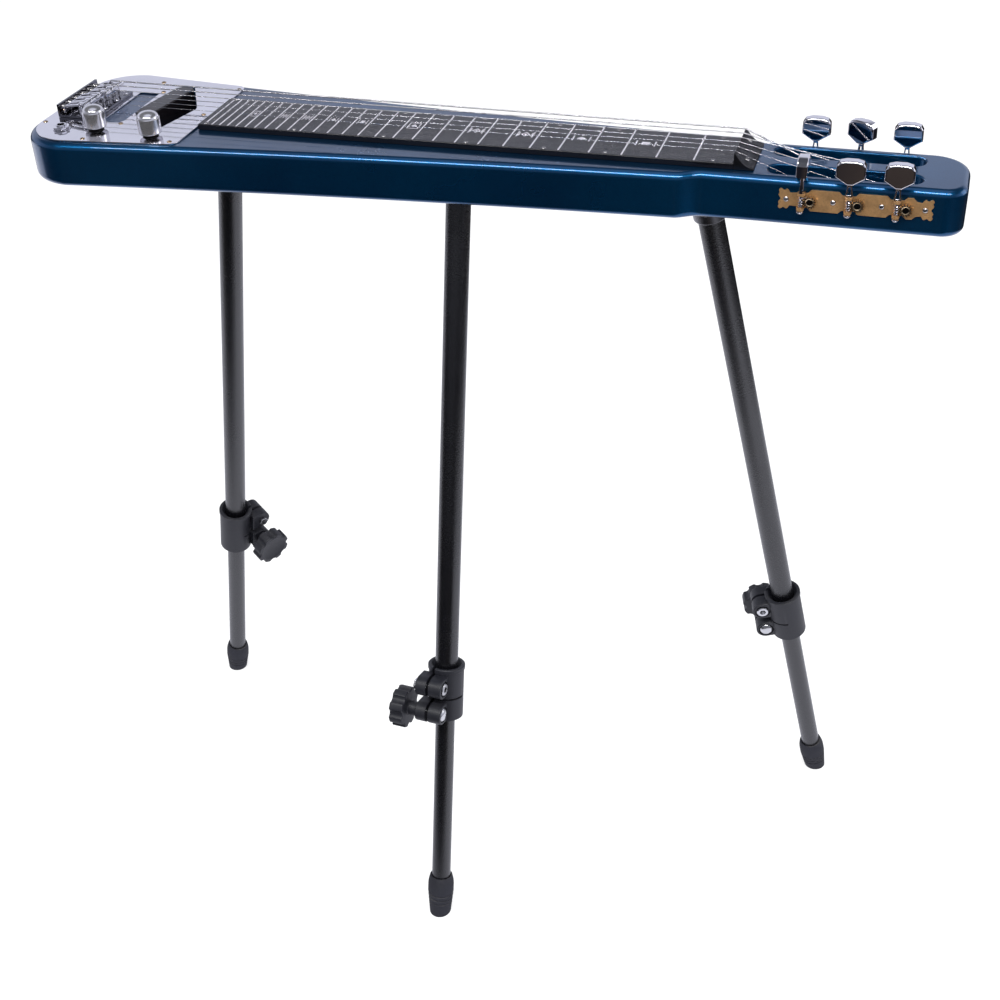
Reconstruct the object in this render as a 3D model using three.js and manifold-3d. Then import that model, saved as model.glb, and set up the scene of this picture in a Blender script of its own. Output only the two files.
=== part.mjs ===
// Lap steel guitar on three telescopic screw-in legs.
// X runs along the strings with the nut at zero and the head at +X, Y runs across, Z is up.
// All lengths are in millimetres.
import * as THREE from "three";
import { mergeVertices } from "three/addons/utils/BufferGeometryUtils.js";
import Module from "manifold-3d";

const wasm = await Module();
wasm.setup();

// Driving dimensions
const seat = 0.3;               // gap kept between pieces that touch
const overrun = 5;              // how far a cutter runs past what it cuts
const scaleLength = 571.5;      // nut to saddle crest; what is Ahead or Behind is measured from the crest
const playHeight = 771;         // floor to the face of the fretboard

const bodyThickness = 39;
const tailBehind = 44.5;        // saddle crest to the tail end
const bodyHead = 180.5;         // nut to the head end
const waistHalf = 47;           // half width just behind the nut
const tailHalf = 95.5;          // half width at the tail end, before its corners
const flareBow = 5.3;           // how far the flare hangs inside a straight taper
const headHalf = 38.5;
const stepStart = 45;           // behind the nut, where the S-shaped step begins
const stepEnd = 22;
const tailCorner = 45;
const headCornerNear = 18;
const headCornerFar = 30;
const edgeRound = 6;

const slotLength = 120.5;
const slotWidth = 20;
const slotFromNut = 25.5;
const slotAcross = 18.5;        // centre line of each string slot from the middle
const slotRound = 1.5;

const fretboardThickness = 5;
const fretboardAhead = 107.5;
const fretboardNutHalf = 28.2;
const fretboardEndHalf = 33.4;
const fretboardEdge = 0.8;

const nutLength = 16;
const nutHalf = 28.5;
const nutRise = 8.5;            // ridge above the fretboard face
const nutRidge = 0.9;
const nutToe = 1.4;
const apronSteps = 7;

const plateThickness = 1.2;
const plateInset = 6;
const plateAhead = 105;
const windowLength = 76;        // window that shows the bare body, across the strings
const windowWidth = 21;
const windowAhead = 24;
const windowAcross = 2;
const windowShares = [
  [-0.5, 0.5], [0.4, 0.5], [0.49, -0.41], [0.34, -0.49], [-0.21, -0.5], [-0.46, -0.39],
];
const openingLength = 108.3;    // slanted pickup opening, joined to the window
const openingWidth = 51.8;
const openingAhead = 58.6;
const openingAcross = 9.6;
const openingShares = [
  [-0.326, 0.437], [-0.241, 0.5], [-0.048, 0.5], [0.027, 0.437], [0.471, 0.04], [0.5, -0.006],
  [0.307, -0.44], [0.232, -0.5], [0.04, -0.5], [-0.5, -0.165],
];
const pocketDepth = 18;
const pocketMargin = 1;
const cavityLength = 118;       // control cavity under the near side of the plate
const cavityWidth = 28;
const cavityAhead = 33.5;
const cavityAcross = 58;
const cavityDepth = 31;
const cavityCorner = 9;

const pickupWidth = 17.5;
const pickupReach = 29.8;       // half the distance between the centres of its round ends
const pickupSlant = THREE.MathUtils.degToRad(7.5);
const pickupAhead = 46.8;
const pickupAcross = 23.3;
const pickupProud = 0.6;        // above the plate
const pickupEdge = 1.2;

const bridgeWidth = 68;
const bridgeBehind = 28.5;
const bridgeAhead = 8.5;
const bridgeSheet = 2;
const bridgeWall = 11;
const bridgePitch = 10.8;
const saddleWidth = 10.2;
const saddleSheet = 1.6;
const saddleBack = 20;          // crest to rear tab
const saddleLip = 2.2;
const saddleTip = 4.5;          // crest to the foot of the front lip
const saddleCrest = 9.2;        // crest above the fretboard face
const saddleDrop = 2.6;         // rear of the top plate below the crest
const saddleSlot = 11;
const saddleSlotFront = 6.5;    // crest to the slot
const saddleSlotWidth = 3;
const saddleStagger = 3.6;      // the three near saddles sit this much further back
const saddleLegRadius = 1.3;
const stringHoleRadius = 1.2;

const stringGauges = [0.38, 0.46, 0.61, 0.81, 1.07, 1.37];
const nutPitch = 9.6;
const wrapTurns = 2;
const wrapGap = 0.46;           // clear space between turns on a post
const postLandings = [22, 17, 15.6];
const wrapSteps = 12;
const stringSides = 6;

const knobRadius = 9.9;
const knobHeight = 19;
const knobDome = 5.2;
const knobChamfer = 0.7;
const knobLift = 2.9;           // underside above the plate
const knobBore = 10;
const knobsAhead = [20, 75.1];
const knobsAcross = [54, 58.5];
const potRadius = 8;
const potHeight = 9;
const potShaft = 3;
const potBush = 3.6;
const potNut = 5.6;
const potNutHeight = 2.2;

const jackBehind = 10.9;
const jackAcross = 59.4;
const jackNut = 7.7;
const jackNutHeight = 2.4;
const jackBush = 4.9;
const jackRise = 4.2;
const jackBore = 3.25;
const jackDepth = 24;

const tunerPitch = 36.5;
const firstPost = 63;
const postDrop = 15.6;          // post axis below the face of the head
const postRadius = 3;
const postTip = 4;              // where a post ends, from the middle line
const tunerSheet = 1.2;
const tunerHeight = 17.6;
const tunerNeckHeight = 12.4;
const neckRun = 5;              // half length of the narrow part at each worm
const leafBefore = 18.6;        // end screw to the first post
const leafAfter = 14.5;         // last post to the other end screw
const leafReach = 6.2;
const leafHalf = 8.5;
const leafShares = [
  [-0.45, 0.62], [-0.03, 0.97], [0.35, 0.82], [0.77, 1], [1, 0.76], [0.84, 0.6], [1, 0.36],
  [0.72, 0],
];
const gearTeeth = 14;
const gearRadius = 4.9;         // pitch circle
const gearTip = 0.5;
const gearRoot = 0.7;
const gearWidth = 3;
const gearBacklash = 0.15;
const wormRadius = 2.1;         // pitch circle
const wormTip = 0.5;
const wormRoot = 0.75;
const wormBacklash = 0.2;
const wormReach = 4;            // threaded length each way from the post axis
const wormSides = 8;
const flankSlope = Math.tan(THREE.MathUtils.degToRad(25));
const gearRecess = 2.8;
const gearRecessDepth = 2;
const lugNear = 5;              // lugs that carry the worm, each side of the post axis
const lugThickness = 2;
const lugHalf = 3;
const journalRadius = 1.6;
const stemHeight = 10.5;
const stemTopHalf = 1.9;
const stemFootHalf = 2.9;
const stemThickness = 2.6;
const stemWindow = 1.4;
const finialRadius = 2.9;
const finialHeight = 2.6;
const buttonWidth = 23;
const buttonHeight = 19.5;
const buttonThickness = 9;
const buttonBevel = 2.6;
const buttonShares = [
  [0.2, 0], [1, 0.3], [0.98, 0.76], [0.8, 0.92], [0.36, 0.99], [-0.36, 0.99], [-0.8, 0.92],
  [-0.98, 0.76], [-1, 0.3], [-0.2, 0],
];
const buttonTurns = { near: [90, 0, 0], far: [0, -25, 0] };   // degrees, as the tuning left them

const legSplay = THREE.MathUtils.degToRad(14.3);
const tailLegAhead = 110.7;
const middleLeg = 239.5;        // nut to the top of the middle leg
const headLeg = 22;
const legsAcross = [10, 0, -8]; // top of each leg beside the middle line of the body
const legNames = ["tail", "middle", "head"];
const legBearings = [144, -90, 46].map(THREE.MathUtils.degToRad);
const clampBearings = [58, -95, 195].map(THREE.MathUtils.degToRad);
const flangeRadius = 24;
const flangeThickness = 3;
const bossRadius = 15;
const bossLength = 12;
const socketFloor = 4.2;
const upperTubeRadius = 11;
const tubeWall = 1.2;
const lowerTubeLength = 412.5;
const clampReach = 285;         // top of the clamp to the end of the leg
const clampUpper = 31;
const clampSlit = 2;
const clampLower = 22;
const clampRadius = 17.2;
const clampLip = 0.8;
const clampLipHeight = 5;
const mouthRadius = 14.8;       // the clamp's mouth opens to this as a cone
const mouthDepth = 5;
const earReach = 23;            // leg axis to the bolt axes
const earHalf = 10;
const earPlain = 8;             // leg axis to the plain face of the ears
const earKnob = 19;             // leg axis to the knob face of the ears
const earGap = 3;
const earGapCentre = 6.5;
const boltRadius = 3;
const boltHead = 6.6;
const boltHeadHeight = 3.4;
const starRadius = 20;
const starLobes = 8;
const starWave = 2.8;
const starThickness = 14;
const starHub = 7;
const starHubLength = 8.5;
const starEdge = 1.6;
const footLength = 42.8;
const footRadius = 13.2;
const footMouth = 11.4;
const footSole = 10.4;
const footRibs = 3;
const footRibPitch = 5;
const footRibDepth = 1.1;
const footFloor = 9;            // rubber under the end of the tube

// Sizes worked out from the above
const bodyTop = playHeight - fretboardThickness;
const bodyBottom = bodyTop - bodyThickness;
const bodyTail = scaleLength + tailBehind;
const fretboardEnd = scaleLength - fretboardAhead;
const plateEnd = scaleLength - plateAhead;
const knobPlaces = knobsAhead.map((ahead, i) => [scaleLength - ahead, knobsAcross[i]]);
const jackX = scaleLength + jackBehind;
const legTops = [scaleLength - tailLegAhead, middleLeg, headLeg];
const plateTop = bodyTop + seat + plateThickness;
const baseTop = plateTop + seat + bridgeSheet;
const postHeight = bodyTop - postDrop;
const lead = 2 * Math.PI * gearRadius / gearTeeth;
const wormOffset = gearRadius + wormRadius;
const tunerFace = headHalf + seat + tunerSheet;
const gearMiddle = tunerFace + seat + wormRadius + wormTip;
const lowerTubeRadius = upperTubeRadius - tubeWall - seat;
const legLength = bodyBottom / Math.cos(legSplay);
const clampTop = legLength - clampReach;
const clampBottom = clampTop + clampUpper + clampSlit + clampLower;
const upperBolt = clampTop + (clampUpper + clampSlit) / 2;
const lowerBolt = clampBottom - clampLower / 2;
const upperTubeEnd = clampTop + clampUpper - 2 * seat;
const lowerTubeEnd = legLength - footFloor - seat;
const footTop = legLength - footLength;

// Materials
const finish = (color, roughness, metalness) =>
  new THREE.MeshStandardMaterial({ color, roughness, metalness });
const blueGloss = finish(0x06284f, 0.14, 0.35);
const chrome = finish(0xc9c9cf, 0.08, 1);
const blackGloss = finish(0x0b0b10, 0.15, 0);
const gunmetal = finish(0x4a4a4c, 0.4, 0.8);
const steel = finish(0xb8b6b2, 0.3, 1);
const antiqueBrass = finish(0x9a7a55, 0.4, 0.9);
const blackTube = finish(0x1c1c22, 0.6, 0.1);
const blackPlastic = finish(0x131318, 0.55, 0);
const blackRubber = finish(0x101014, 0.85, 0);
const zinc = finish(0xd0d0d0, 0.25, 1);

// Helpers
// Turns a closed geometry into a solid, facing out, with its shared corners merged.
function solid(geometry) {
  const bare = geometry.clone();
  bare.deleteAttribute("normal");
  bare.deleteAttribute("uv");
  const merged = mergeVertices(bare);
  const at = merged.attributes.position;
  const index = merged.index.array;
  const kept = [];
  let volume = 0;
  const [a, b, c] = [new THREE.Vector3(), new THREE.Vector3(), new THREE.Vector3()];
  for (let i = 0; i < index.length; i += 3) {
    const [p, q, r] = [index[i], index[i + 1], index[i + 2]];
    if (p === q || q === r || r === p) continue;
    kept.push([p, q, r]);
    a.fromBufferAttribute(at, p);
    b.fromBufferAttribute(at, q);
    c.fromBufferAttribute(at, r);
    volume += a.dot(b.cross(c));
  }
  const turned = volume < 0 ? kept.map(([p, q, r]) => [p, r, q]) : kept;
  return new wasm.Manifold(new wasm.Mesh({
    numProp: 3,
    vertProperties: new Float32Array(at.array),
    triVerts: new Uint32Array(turned.flat()),
  }));
}

function geometryOf(body) {
  const mesh = body.getMesh();
  const geometry = new THREE.BufferGeometry();
  geometry.setAttribute("position", new THREE.BufferAttribute(mesh.vertProperties, 3));
  geometry.setIndex(new THREE.BufferAttribute(mesh.triVerts, 1));
  geometry.computeVertexNormals();
  return geometry;
}

function joined(...geometries) {
  return geometries.map(solid).reduce((sum, next) => sum.add(next));
}

function cut(body, ...geometries) {
  return geometries.map(solid).reduce((rest, next) => rest.subtract(next), body);
}

// A solid drawn at +Y, or its mirror image at -Y.
function onSide(body, side) {
  return side < 0 ? body.mirror([0, 1, 0]) : body;
}

function addMesh(parent, name, body, material) {
  const mesh = new THREE.Mesh(geometryOf(body), material);
  mesh.name = name;
  parent.add(mesh);
  return mesh;
}

// A revolved profile of [radius, height] points, turned so that its axis is Z.
function revolved(profile, segments) {
  const points = profile.map(([radius, height]) => new THREE.Vector2(radius, height));
  return new THREE.LatheGeometry(points, segments).rotateX(Math.PI / 2);
}

function rod(radius, from, to, segments) {
  return revolved([[0, from], [radius, from], [radius, to], [0, to]], segments);
}

// The same rod lying along Y.
function rodAcross(radius, from, to, segments) {
  return rod(radius, from, to, segments).rotateX(-Math.PI / 2);
}

function shapeOf(points) {
  return new THREE.Shape(points.map(([x, y]) => new THREE.Vector2(x, y)));
}

// An outline in X and Y, raised from one height to another.
function raised(shape, from, to, segments = 6) {
  const options = { depth: to - from, bevelEnabled: false, curveSegments: segments };
  return new THREE.ExtrudeGeometry(shape, options).translate(0, 0, from);
}

// An outline drawn in X and Z, carried along Y from one place to another.
function carried(shape, from, to, segments = 6) {
  return raised(shape, -to, -from, segments).rotateX(Math.PI / 2);
}

function block(x0, x1, y0, y1, z0, z1) {
  return raised(shapeOf([[x0, y0], [x1, y0], [x1, y1], [x0, y1]]), z0, z1);
}

// A slab with its whole rim rounded over.
function pillowed(shape, from, to, round, steps, segments) {
  const options = {
    depth: to - from - 2 * round, bevelEnabled: true, bevelThickness: round,
    bevelSize: round, bevelOffset: -round, bevelSegments: steps, curveSegments: segments,
  };
  return new THREE.ExtrudeGeometry(shape, options).translate(0, 0, from + round);
}

function arcPoints(cx, cy, radius, start, end, steps) {
  return Array.from({ length: steps + 1 }, (_, i) => {
    const angle = start + (end - start) * i / steps;
    return [cx + radius * Math.cos(angle), cy + radius * Math.sin(angle)];
  });
}

// A bar with round ends, centred on zero and lying along X.
function stadium(length, width, steps) {
  const reach = length / 2 - width / 2;
  return shapeOf([
    ...arcPoints(reach, 0, width / 2, -Math.PI / 2, Math.PI / 2, steps),
    ...arcPoints(-reach, 0, width / 2, Math.PI / 2, Math.PI * 3 / 2, steps),
  ]);
}

// Body
const flareRun = bodyTail - stepStart;

// Half width of the body behind the step: a taper that hangs slightly inside a straight line.
function flareHalf(fromNut) {
  const share = (fromNut - stepStart) / flareRun;
  return waistHalf + (tailHalf - waistHalf) * share - 4 * flareBow * share * (1 - share);
}

// Outline of one side from the tail corner to the head, moved in from the edge by an inset.
function sideLine(inset, corner, flareSteps, stepSteps) {
  const flareStart = bodyTail - tailCorner;
  const points = [];
  for (let i = 0; i <= flareSteps; i += 1) {
    const fromNut = flareStart + (stepStart - flareStart) * i / flareSteps;
    points.push([-fromNut, flareHalf(fromNut) - inset]);
  }
  for (let i = 1; i <= stepSteps; i += 1) {
    const share = i / stepSteps;
    const fromNut = stepStart + (stepEnd - stepStart) * share;
    const fall = (waistHalf - headHalf) * (1 - Math.cos(Math.PI * share)) / 2;
    points.push([-fromNut, waistHalf - fall - inset]);
  }
  const turn = bodyHead - corner;
  return [...points, ...arcPoints(turn, headHalf - corner, corner - inset, Math.PI / 2, 0, 5)];
}

function tailArc(inset, steps) {
  const reach = flareHalf(bodyTail - tailCorner) - tailCorner;
  return arcPoints(tailCorner - bodyTail, reach, tailCorner - inset, Math.PI, Math.PI / 2, steps);
}

function bodyOutline() {
  const far = [...tailArc(0, 7), ...sideLine(0, headCornerFar, 9, 6).slice(1)];
  const near = [...tailArc(0, 7), ...sideLine(0, headCornerNear, 9, 6).slice(1)]
    .map(([x, y]) => [x, -y]).reverse();
  return shapeOf([...far, ...near]);
}

function windowOutline() {
  return shapeOf(windowShares.map(([x, y]) =>
    [x * windowWidth + windowAhead - scaleLength, y * windowLength + windowAcross]));
}

function openingOutline(margin) {
  const [width, length] = [openingWidth + 2 * margin, openingLength + 2 * margin];
  return shapeOf(openingShares.map(([x, y]) =>
    [x * width + openingAhead - scaleLength, y * length + openingAcross]));
}

function cavityOutline() {
  const [x, y] = [cavityLength / 2 - cavityCorner, cavityWidth / 2 - cavityCorner];
  const quarter = Math.PI / 2;
  const corners = [[x, y], [-x, y], [-x, -y], [x, -y]];
  return shapeOf(corners.flatMap(([cx, cy], turn) => arcPoints(
    cx + cavityAhead - scaleLength, cy - cavityAcross, cavityCorner,
    turn * quarter, (turn + 1) * quarter, 3,
  )));
}

const slotMiddle = slotFromNut + slotLength / 2;

// A string slot whose two rims are rounded over.
function slotCutter(side) {
  const options = {
    depth: bodyThickness - 2 * slotRound, bevelEnabled: true, bevelThickness: slotRound,
    bevelSize: -slotRound, bevelOffset: slotRound, bevelSegments: 2,
  };
  return new THREE.ExtrudeGeometry(stadium(slotLength, slotWidth, 6), options)
    .translate(slotMiddle, side * slotAcross, bodyBottom + slotRound);
}

const postPlaces = [0, 1, 2].map((i) => firstPost + i * tunerPitch);

function postHole(place, side) {
  return rodAcross(postRadius + seat, postTip - seat, headHalf + overrun, 10)
    .scale(1, side, 1).translate(place, 0, postHeight);
}

function makeBody() {
  const slab = solid(pillowed(bodyOutline(), bodyBottom, bodyTop, edgeRound, 3, 6));
  const holes = [-1, 1].flatMap((side) => postPlaces.map((place) => postHole(place, side)));
  return cut(
    slab, slotCutter(-1), slotCutter(1),
    raised(openingOutline(pocketMargin), bodyTop - pocketDepth, bodyTop + overrun),
    raised(cavityOutline(), bodyTop - cavityDepth, bodyTop + overrun),
    ...holes,
  );
}

// Control plate, pickup, fretboard and nut
function plateOutline() {
  const side = [...tailArc(plateInset, 7)];
  const flareStart = bodyTail - tailCorner;
  for (let i = 1; i <= 4; i += 1) {
    const fromNut = flareStart + (plateEnd - flareStart) * i / 4;
    side.push([-fromNut, flareHalf(fromNut) - plateInset]);
  }
  return shapeOf([...side, ...side.map(([x, y]) => [x, -y]).reverse()]);
}

function makePlate() {
  const foot = bodyTop + seat;
  const sheet = solid(raised(plateOutline(), foot, plateTop));
  const holes = knobPlaces.map(([x, y]) =>
    rod(potBush + seat, foot - overrun, plateTop + overrun, 14).translate(-x, -y, 0));
  return cut(
    sheet,
    raised(windowOutline(), foot - overrun, plateTop + overrun),
    raised(openingOutline(0), foot - overrun, plateTop + overrun),
    rod(jackBush + seat, foot - overrun, plateTop + overrun, 14).translate(-jackX, -jackAcross, 0),
    ...holes,
  );
}

function makePickup() {
  const bar = stadium(2 * pickupReach + pickupWidth, pickupWidth, 8);
  const foot = bodyTop - pocketDepth + seat;
  return solid(pillowed(bar, foot, plateTop + pickupProud, pickupEdge, 2, 6)
    .rotateZ(Math.PI / 2 - pickupSlant).translate(pickupAhead - scaleLength, pickupAcross, 0));
}

function makeFretboard() {
  const outline = shapeOf([
    [-fretboardEnd, -fretboardEndHalf], [-seat, -fretboardNutHalf],
    [-seat, fretboardNutHalf], [-fretboardEnd, fretboardEndHalf],
  ]);
  return solid(pillowed(outline, bodyTop + seat, playHeight, fretboardEdge, 2, 6));
}

function makeNut() {
  const ridge = playHeight + nutRise;
  const foot = bodyTop + seat;
  const toe = foot + nutToe;
  const apron = Array.from({ length: apronSteps + 1 }, (_, i) => {
    const share = i / apronSteps;
    return [nutRidge + (nutLength - nutRidge) * share, toe + (ridge - toe) * (1 - share) ** 2];
  });
  return solid(carried(shapeOf([[0, foot], [nutLength, foot], ...apron.reverse(),
    [0, ridge - nutRidge]]), -nutHalf, nutHalf));
}

// Bridge
const stringAcross = [0, 1, 2, 3, 4, 5].map((i) => i - 2.5);
const saddleHeight = playHeight + saddleCrest;

function saddleShift(i) {
  return i < 3 ? saddleStagger : 0;
}

function makeBridgeBase() {
  const foot = plateTop + seat;
  const [back, front] = [-scaleLength - bridgeBehind, bridgeAhead - scaleLength];
  const outline = shapeOf([
    [back, foot], [front, foot], [front, baseTop], [back + bridgeSheet, baseTop],
    [back + bridgeSheet, foot + bridgeWall], [back, foot + bridgeWall],
  ]);
  const holes = stringAcross.map((share, i) =>
    rod(stringHoleRadius, foot - overrun, baseTop + overrun, 8)
      .translate(stringHoleX(i), share * bridgePitch, 0));
  return cut(solid(carried(outline, -bridgeWidth / 2, bridgeWidth / 2)), ...holes);
}

function saddleFront(i) {
  return -scaleLength - saddleShift(i);
}

function stringHoleX(i) {
  return saddleFront(i) - saddleBack + saddleSheet * 3;
}

// A bent steel saddle: rear tab, slotted top plate, front lip, and two height screws as legs.
function makeSaddle(i) {
  const front = saddleFront(i);
  const rear = front - saddleBack;
  const low = saddleHeight - saddleDrop;
  const tab = baseTop + saddleSheet;
  const lip = front + saddleLip;
  const strip = shapeOf([
    [rear, tab], [rear + saddleSheet, tab], [rear + saddleSheet, low - saddleSheet],
    [front - saddleSheet / 2, saddleHeight - saddleSheet],
    [lip - saddleSheet, saddleHeight - saddleLip], [lip - saddleSheet, saddleHeight - saddleTip],
    [lip, saddleHeight - saddleTip], [lip, saddleHeight - saddleLip],
    [front + saddleLip * 0.6, saddleHeight - saddleLip * 0.3], [front, saddleHeight], [rear, low],
  ]);
  const slotMiddleX = front - saddleSlotFront - saddleSlot / 2;
  const slot = raised(stadium(saddleSlot, saddleSlotWidth, 3), tab, saddleHeight + overrun)
    .translate(slotMiddleX, 0, 0);
  const across = saddleWidth / 2 - saddleLegRadius;
  const legs = [-1, 1].map((side) =>
    rod(saddleLegRadius, baseTop + seat, saddleHeight - saddleSheet, 8)
      .translate(front - 2 * saddleLegRadius, side * across, 0));
  const plate = cut(solid(carried(strip, -saddleWidth / 2, saddleWidth / 2)), slot);
  return legs.map(solid).reduce((sum, leg) => sum.add(leg), plate)
    .translate([0, stringAcross[i] * bridgePitch, 0]);
}

// Strings
// Height of a saddle's top plate at a distance behind its crest.
function saddleTop(behind) {
  return saddleHeight - saddleDrop * behind / saddleBack;
}

// A string rises from its hole in the bridge base through the saddle slot, bends over the crest,
// crosses the nut and winds down onto its post, where its turns lie side by side.
function stringRoute(i) {
  const radius = stringGauges[i] / 2;
  const side = i < 3 ? -1 : 1;
  const order = i < 3 ? i : 5 - i;
  const [bridgeY, nutY] = [stringAcross[i] * bridgePitch, stringAcross[i] * nutPitch];
  const lift = seat + radius;
  const ridge = playHeight + nutRise + lift;
  const front = saddleFront(i);
  const emerge = saddleSlotFront + radius + seat;
  const dip = emerge + (saddleBack - emerge) / 3;
  const start = [
    [stringHoleX(i), bridgeY, baseTop - bridgeSheet + seat],
    [stringHoleX(i), bridgeY, (baseTop + saddleTop(dip)) / 2],
    [front - dip, bridgeY, saddleTop(dip) - saddleSheet],
    [front - emerge, bridgeY, saddleTop(emerge) + 2 * lift],
    [front, bridgeY, saddleHeight + lift],
    [nutRidge / 2, nutY, ridge],
  ];
  const wrap = postRadius + lift;
  const [across, drop] = [postPlaces[order] - nutRidge / 2, ridge - postHeight];
  const first = Math.atan2(drop, -across) - Math.acos(wrap / Math.hypot(across, drop));
  const pitch = (2 * radius + wrapGap) * (order === 0 ? -1 : 1);
  const turns = Array.from({ length: wrapTurns * wrapSteps + 1 }, (_, k) => {
    const angle = first - 2 * Math.PI * k / wrapSteps;
    return [
      postPlaces[order] + wrap * Math.cos(angle),
      side * (postLandings[order] + pitch * k / wrapSteps),
      postHeight + wrap * Math.sin(angle),
    ];
  });
  return { radius, points: [...start, ...turns] };
}

// Least clear space between the turns of one string, measured on the points of its route.
function leastGap({ radius, points }) {
  const wound = points.slice(-(wrapTurns * wrapSteps + 2)).map((p) => new THREE.Vector3(...p));
  let least = Infinity;
  wound.forEach((p, i) => wound.slice(i + wrapSteps / 2).forEach((q) => {
    least = Math.min(least, p.distanceTo(q) - 2 * radius);
  }));
  return least;
}

// One unbroken tube through the points of a route, with flat ends.
function tube({ radius, points }) {
  const at = points.map((p) => new THREE.Vector3(...p));
  const corners = [];
  let across = new THREE.Vector3(0, 1, 0);
  at.forEach((point, i) => {
    const ahead = at[Math.min(i + 1, at.length - 1)].clone().sub(point);
    const behind = point.clone().sub(at[Math.max(i - 1, 0)]);
    const along = ahead.normalize().add(behind.normalize()).normalize();
    across = across.clone().addScaledVector(along, -across.dot(along)).normalize();
    const up = along.clone().cross(across);
    for (let k = 0; k < stringSides; k += 1) {
      const angle = 2 * Math.PI * k / stringSides;
      const corner = point.clone()
        .addScaledVector(across, radius * Math.cos(angle))
        .addScaledVector(up, radius * Math.sin(angle));
      corners.push(...corner.toArray());
    }
  });
  return stitched(corners, at.length, stringSides);
}

// Joins rings of corners into one closed skin with a flat face at each end.
function stitched(corners, rings, sides) {
  const index = [];
  for (let i = 0; i + 1 < rings; i += 1) {
    for (let k = 0; k < sides; k += 1) {
      const [a, b] = [i * sides + k, i * sides + (k + 1) % sides];
      index.push(a, b, b + sides, a, b + sides, a + sides);
    }
  }
  const last = (rings - 1) * sides;
  for (let k = 1; k + 1 < sides; k += 1) {
    index.push(0, k + 1, k, last, last + k, last + k + 1);
  }
  const geometry = new THREE.BufferGeometry();
  geometry.setAttribute("position", new THREE.Float32BufferAttribute(corners, 3));
  geometry.setIndex(index);
  return geometry;
}

// Knobs, potentiometers and output socket, each drawn upwards from the face of the plate
function makeKnob() {
  const barrel = knobRadius - knobChamfer;
  const spring = knobHeight - knobDome;
  const dome = [0, 1, 2, 3].map((i) => {
    const angle = Math.PI / 2 * i / 4;
    return [barrel * Math.cos(angle), spring + knobDome * Math.sin(angle)];
  });
  return solid(revolved([
    [0, knobBore], [potShaft + seat, knobBore], [potShaft + seat, 0], [barrel, 0],
    [knobRadius, knobChamfer], [knobRadius, spring - knobChamfer], ...dome, [0, knobHeight],
  ], 18).translate(0, 0, knobLift));
}

function makePot() {
  const under = -plateThickness - seat;
  const tip = knobLift + knobBore - seat;
  return joined(
    revolved([
      [0, under - potHeight], [potRadius, under - potHeight], [potRadius, under],
      [potBush, under], [potBush, seat + potNutHeight], [potShaft, seat + potNutHeight],
      [potShaft, tip], [0, tip],
    ], 14),
    rod(potNut, seat, seat + potNutHeight, 6),
  );
}

function makeOutputSocket() {
  const under = -plateThickness - seat;
  const barrel = jackNut - seat;
  const bush = revolved([
    [jackBore, under - jackDepth], [barrel, under - jackDepth], [barrel, under],
    [jackBush, under], [jackBush, jackRise], [jackBore, jackRise], [jackBore, under - jackDepth],
  ], 12);
  const nut = rod(jackNut, seat, seat + jackNutHeight, 6);
  const bore = rod((jackBore + jackBush) / 2, -overrun, overrun, 12);
  return solid(bush).add(cut(solid(nut), bore));
}

// Tuners: a plate with lugs, worms on the button shafts, and gears on the string posts
function leafEnd(screw, toward) {
  return leafShares.map(([x, z]) => [screw + toward * x * leafReach, z * leafHalf]);
}

// One plate for three strings, drawn in X and Z round the height of the posts. Its long parts
// narrow to a neck at each worm, and its ends are scalloped leaves round the end screws.
function tunerPlateOutline() {
  const [neck, tall] = [tunerNeckHeight / 2, tunerHeight / 2];
  const rise = tall - neck;
  const upper = leafEnd(firstPost - leafBefore, -1).reverse();
  postPlaces.forEach((place, i) => {
    const worm = place - wormOffset;
    const close = i === 2 ? place + gearRadius + rise : worm + tunerPitch - neckRun;
    upper.push([worm + neckRun, neck], [worm + neckRun + rise, tall]);
    upper.push([close - rise, tall], [close, neck]);
  });
  upper.push(...leafEnd(postPlaces[2] + leafAfter, 1));
  return shapeOf([...upper, ...upper.slice(1, -1).map(([x, z]) => [x, -z]).reverse()].reverse());
}

function makeTunerPlate(side) {
  const [inner, outer] = [headHalf + seat, tunerFace];
  const sheet = carried(tunerPlateOutline(), inner, outer);
  const worms = postPlaces.map((place) => place - wormOffset);
  const lugs = worms.flatMap((x) => [-lugNear - lugThickness, lugNear].map((z) => block(
    x - lugHalf, x + lugHalf, outer - tunerSheet / 2, gearMiddle + lugHalf, z, z + lugThickness,
  )));
  const whole = cut(
    joined(sheet, ...lugs),
    ...postPlaces.map((x) =>
      rodAcross(postRadius + seat, inner - overrun, gearMiddle, 10).translate(x, 0, 0)),
    ...worms.map((x) =>
      rod(journalRadius + seat, -tunerHeight, tunerHeight, 8).translate(x, gearMiddle, 0)),
  );
  return onSide(whole, side);
}

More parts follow.
